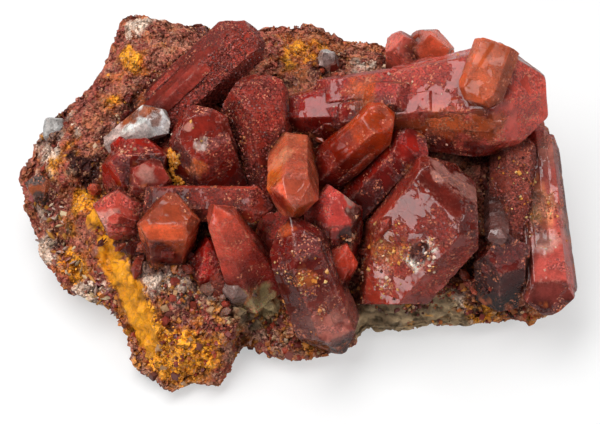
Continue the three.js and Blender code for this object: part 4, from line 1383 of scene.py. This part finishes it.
def materials():
    """Every material of the specimen, made once."""
    if not MATERIALS:
        groups = {
            "facets": facets_group(), "plates": plates_group(), "veil": veil_group(), "wear": wear_group(),
        }
        MATERIALS.update(
            glossy=quartz_material("Glossy red quartz", groups, GLOSSY_LOOK),
            frosted=quartz_material("Frosted red quartz", groups, FROSTED_LOOK),
            orange=quartz_material("Orange quartz", groups, ORANGE_LOOK),
            clear=clear_material(groups),
            rock=rock_material(groups, bpy.context.scene.quartz),
            grains=grain_material(),
        )
    return MATERIALS


# ------------------------------------------------------------------ settings


class QuartzSettings(bpy.types.PropertyGroup):
    """Sizes, counts and tints of the specimen."""

    grain: FloatProperty(
        name="Grain", description="Size of the rock's grains in mm", default=0.32, min=0.1, max=2)
    rock_columns: IntProperty(
        name="Rock columns", description="Points round the rock", default=640, min=60)
    rock_grains: IntProperty(
        name="Rock grains", description="Loose crystal grains on the rock", default=11000, min=24)
    coat_grains: IntProperty(
        name="Coat grains", description="Grains coating the frosted crystals", default=9000, min=12)
    seedlings: IntProperty(
        name="Seedlings", description="Small crystals in the crevices", default=150, min=1)
    quartz_tint: FloatVectorProperty(
        name="Quartz tint", description="Colour that the crystals' own colours are multiplied by",
        subtype="COLOR", size=3, default=(1.0, 1.0, 1.0), min=0, max=1)
    rock_tint: FloatVectorProperty(
        name="Rock tint", description="Colour that the rock's own colours are multiplied by",
        subtype="COLOR", size=3, default=(1.0, 1.0, 1.0), min=0, max=1)


class StageSettings(bpy.types.PropertyGroup):
    """Floor, light and camera."""

    floor_colour: FloatVectorProperty(
        name="Floor", description="Colour of the floor", subtype="COLOR", size=3,
        default=(0.50, 0.50, 0.50), min=0, max=1)
    floor_glow: FloatProperty(
        name="Floor glow", description="Light that the lit sweep gives off", default=0.455, min=0)
    lens: FloatProperty(name="Lens", description="Focal length", default=120.0, min=20, unit="CAMERA")


# ------------------------------------------------------------------ operators

# Seeds of the strewn pieces.
ROCK_SEED, SEEDLING_SEED, COAT_SEED, CRUMB_SEED = 62, 64, 80, 200


class QUARTZ_OT_matrix(bpy.types.Operator):
    """Build the matrix rock: the solid's loft with finer rows and broken, crumbly relief."""

    bl_idname = "quartz.matrix"
    bl_label = "Matrix Rock"

    def execute(self, context):
        rows = rock_rows(context.scene.quartz.rock_columns, WALL_ROWS, TOP_ROWS)
        points, quads, triangles = closed_loft(rows)
        waxy = waxy_share(points)
        lift, shade = broken_relief(points, waxy)
        points = points + rock_outward(rows) * lift[:, None]
        points[:, 2] = np.maximum(points[:, 2], 0)
        smooth = np.concatenate([waxy[quads[:, 0]] > 0.5, np.zeros(len(triangles), dtype=bool)])
        new_piece(
            "matrix_rock", points, quads.tolist() + triangles.tolist(), materials()["rock"], "matrix_rock",
            ("matrix",), rock_colour(points) * shade[:, None], smooth, waxy=waxy,
        )
        return {"FINISHED"}


def build_crystals(kind):
    """Build every crystal of one material."""
    for name in MEMBERS[kind]:
        crystal_piece(name, kind)
    return {"FINISHED"}


class QUARTZ_OT_glossy(bpy.types.Operator):
    """Build the glossy red crystals."""

    bl_idname = "quartz.glossy"
    bl_label = "Glossy Crystals"

    def execute(self, context):
        return build_crystals("glossy")


class QUARTZ_OT_frosted(bpy.types.Operator):
    """Build the frosted crystals."""

    bl_idname = "quartz.frosted"
    bl_label = "Frosted Crystals"

    def execute(self, context):
        return build_crystals("frosted")


class QUARTZ_OT_orange(bpy.types.Operator):
    """Build the orange crystals."""

    bl_idname = "quartz.orange"
    bl_label = "Orange Crystals"

    def execute(self, context):
        return build_crystals("orange")


class QUARTZ_OT_clear(bpy.types.Operator):
    """Build the clear crystals."""

    bl_idname = "quartz.clear"
    bl_label = "Clear Crystals"

    def execute(self, context):
        return build_crystals("clear")


class QUARTZ_OT_rock_grains(bpy.types.Operator):
    """Strew grains and clasts on the rock, crumbs in its crevices and flakes at its left edge."""

    bl_idname = "quartz.rock_grains"
    bl_label = "Rock Grains"

    def execute(self, context):
        rng = np.random.default_rng(ROCK_SEED)
        ground, middle = rock_ground()
        near = gap_to_crystals(middle)
        grains = context.scene.quartz.rock_grains
        bare = (1 - waxy_share(middle)) * step(middle[:, 2], 1.0, 3.0) * step(near, -1.5, 0)
        lobe = bare * lobe_share(middle)
        crevice = step(near, 2.2, 0.4) * step(near, -1.0, 0)
        fringe = step(stain(middle, FRINGE_SPOTS) + 0.4 * fractal(middle, 2.0, 611), 0.5, 1.0)
        edge = step(stain(middle, FLAKE_SPOTS), 0.4, 1.0) * bare
        for name, weight, count, template, size, spread, lean, shades in (
            ("rock_grains", bare, grains, GRAIN, 0.40, 0.35, 0.45, None),
            ("rock_clasts", lobe, grains // 24, CLAST, 0.75, 0.50, 0.60, "fringe"),
            ("crevice_crumbs", crevice, 2600, GRAIN, 0.55, 0.40, 0.50, "crevice"),
            ("fringe_crumbs", fringe, 700, GRAIN, 0.70, 0.40, 0.50, "fringe"),
            ("west_flakes", edge, 190, FLAKE, 1.45, 0.22, 0.45, "flake"),
        ):
            habit = (template, size, spread, (0.4, 2.4), lean)
            strew(name, ground, weight, count, rng, habit, painter(CRUMB_COLOURS.get(shades), 0.6, 1.5))
        return {"FINISHED"}


class QUARTZ_OT_seedlings(bpy.types.Operator):
    """Grow small quartz crystals in the crevices between the large ones."""

    bl_idname = "quartz.seedlings"
    bl_label = "Seedling Crystals"

    def execute(self, context):
        ground, middle = rock_ground()
        near = gap_to_crystals(middle)
        weight = step(near, 2.6, 1.0) * step(near, -0.8, 0.2) * step(middle[:, 2], 9, 12)
        weight *= step(middle[:, 0], 44, 41) * step(middle[:, 0], -37, -33) * step(middle[:, 1], 27, 24)
        strew(
            "seedling_crystals", ground, weight, context.scene.quartz.seedlings,
            np.random.default_rng(SEEDLING_SEED),
            (SEEDLING, 1.7, 0.3, (0.5, 1.9), 0.55), painter(CRUMB_COLOURS["seedling"], 0.7, 1.3),
            "glossy", "glossy_quartz",
        )
        return {"FINISHED"}


class QUARTZ_OT_coat(bpy.types.Operator):
    """Coat one side of three frosted crystals with tiny grains."""

    bl_idname = "quartz.coat"
    bl_label = "Druse Coat"

    def execute(self, context):
        def paint(rng, place):
            return np.array(COAT_COLOUR) * rng.lognormal(0, 0.45, (len(place), 1))

        for name, (way, start, share) in DRUSE.items():
            ground, middle = crystal_ground(name)
            across = (middle - CRYSTALS[name][0]) @ np.array(way)
            seed = COAT_SEED + SEED[name]
            weight = step(across + 1.6 * fractal(middle, 4.0, seed + 10), start, start + 1.5)
            strew(
                name + "_coat", ground, weight, int(context.scene.quartz.coat_grains * share),
                np.random.default_rng(seed),
                (GRAIN, 0.36, 0.35, (0.5, 2), 0.5), paint, slot="frosted_quartz",
            )
        return {"FINISHED"}


class QUARTZ_OT_crumbs(bpy.types.Operator):
    """Stick crumbs on the crystals where they meet or break."""

    bl_idname = "quartz.crumbs"
    bl_label = "Crumbs"

    def execute(self, context):
        for number, (name, x, y, z, radius, count, shades) in enumerate(CRUMBS):
            ground, middle = crystal_ground(name)
            weight = np.exp(-reach(middle, x, y, z, radius) ** 2)
            weight *= step(fractal(middle, 1.6, CRUMB_SEED + 100 + number), -0.1, 0.4)
            strew(
                f"{name}_crumbs_{number}", ground, weight + LEAST_WEIGHT, count,
                np.random.default_rng(CRUMB_SEED + number),
                (GRAIN, 0.42, 0.4, (0.4, 2.2), 0.6), painter(CRUMB_COLOURS[shades], 0.6, 1.4),
            )
        return {"FINISHED"}


# ------------------------------------------------------------------ stage

FLOOR_HALF = 3.0  # m
WORLD_LIGHT = 0.14
SENSOR_MM = 36.0
CAMERA_PLACE = (0.00075, -0.1863, 0.3264)
CAMERA_TILT = math.radians(30)
LIGHT_AIM = np.array((0, 0, 0.02))
# Name, place and size in m and power in W of each soft light.
LIGHTS = (
    ("overhead softbox", (-0.12, 0.08, 0.40), (0.50, 0.26), 2.1),
    ("front softbox", (-0.44, -0.38, 0.18), (0.28, 0.20), 0.95),
    ("right fill", (0.45, -0.12, 0.24), (0.24, 0.24), 0.95),
)


def look_along(way):
    """Euler angles that point an object's -Z along a direction, with its X level."""
    return (math.atan2(math.hypot(way[0], way[1]), -way[2]), 0, math.atan2(way[1], way[0]) - math.pi / 2)


def build_floor(settings):
    """A flat pale floor that shines faintly to the camera alone, like a lit sweep."""
    material, w, shader = new_material("Floor")
    seen = w.add("ShaderNodeLightPath").outputs["Is Camera Ray"]
    w.fill(shader, {
        "Base Color": (*settings.floor_colour, 1),
        "Roughness": 0.9,
        "Specular IOR Level": 0.0,
        "Emission Color": WHITE,
        "Emission Strength": w.maths("MULTIPLY", seen, settings.floor_glow),
    })
    mesh = bpy.data.meshes.new("floor")
    corners = [(x * FLOOR_HALF, y * FLOOR_HALF, 0) for x, y in ((-1, -1), (1, -1), (1, 1), (-1, 1))]
    mesh.from_pydata(corners, [], [(0, 1, 2, 3)])
    mesh.materials.append(material)
    place_object("floor", mesh)


def build_lights(scene):
    """An even faint light from all round, and the soft lights of the table."""
    world = bpy.data.worlds.new("Studio")
    world.use_nodes = True
    background = world.node_tree.nodes["Background"].inputs
    Wiring(world.node_tree).fill(background, {"Color": WHITE, "Strength": WORLD_LIGHT})
    scene.world = world
    scene.view_settings.view_transform = "Standard"
    scene.view_settings.look = "None"
    for name, place, size, power in LIGHTS:
        light = bpy.data.lights.new(name, "AREA")
        light.shape = "RECTANGLE"
        light.size, light.size_y = size
        light.energy = power
        lamp = place_object(name, light)
        lamp.location = place
        lamp.rotation_euler = look_along(LIGHT_AIM - place)


def build_camera(scene, lens):
    """A long lens that looks down at the show side."""
    data = bpy.data.cameras.new("camera")
    data.lens = lens
    data.sensor_width = SENSOR_MM
    scene.camera = place_object("camera", data)
    scene.camera.location = CAMERA_PLACE
    scene.camera.rotation_euler = (CAMERA_TILT, 0, 0)


class QUARTZ_OT_stage(bpy.types.Operator):
    """Set the pale floor, the soft lights and the camera."""

    bl_idname = "quartz.stage"
    bl_label = "Stage"

    def execute(self, context):
        settings = context.scene.quartz_stage
        build_floor(settings)
        build_lights(context.scene)
        build_camera(context.scene, settings.lens)
        return {"FINISHED"}


class QUARTZ_PT_panel(bpy.types.Panel):
    """Lists the specimen's settings and operators."""

    bl_idname = "QUARTZ_PT_panel"
    bl_label = "Quartz on Matrix"
    bl_space_type = "VIEW_3D"
    bl_region_type = "UI"
    bl_category = "Quartz"

    def draw(self, context):
        for settings in (context.scene.quartz, context.scene.quartz_stage):
            for key in settings.bl_rna.properties.keys():
                if key not in ("rna_type", "name"):
                    self.layout.prop(settings, key)
        for operator in OPERATORS:
            self.layout.operator(operator.bl_idname)


OPERATORS = (
    QUARTZ_OT_matrix, QUARTZ_OT_glossy, QUARTZ_OT_frosted, QUARTZ_OT_orange, QUARTZ_OT_clear,
    QUARTZ_OT_rock_grains, QUARTZ_OT_seedlings, QUARTZ_OT_coat, QUARTZ_OT_crumbs, QUARTZ_OT_stage,
)
CLASSES = (QuartzSettings, StageSettings, *OPERATORS, QUARTZ_PT_panel)


def register():
    for cls in CLASSES:
        bpy.utils.register_class(cls)
    bpy.types.Scene.quartz = PointerProperty(type=QuartzSettings)
    bpy.types.Scene.quartz_stage = PointerProperty(type=StageSettings)


def unregister():
    del bpy.types.Scene.quartz_stage
    del bpy.types.Scene.quartz
    for cls in reversed(CLASSES):
        bpy.utils.unregister_class(cls)


def main():
    """Build the specimen and its stage."""
    register()
    for operator in OPERATORS:
        group, name = operator.bl_idname.split(".")
        getattr(getattr(bpy.ops, group), name)()


if __name__ == "__main__":
    main()
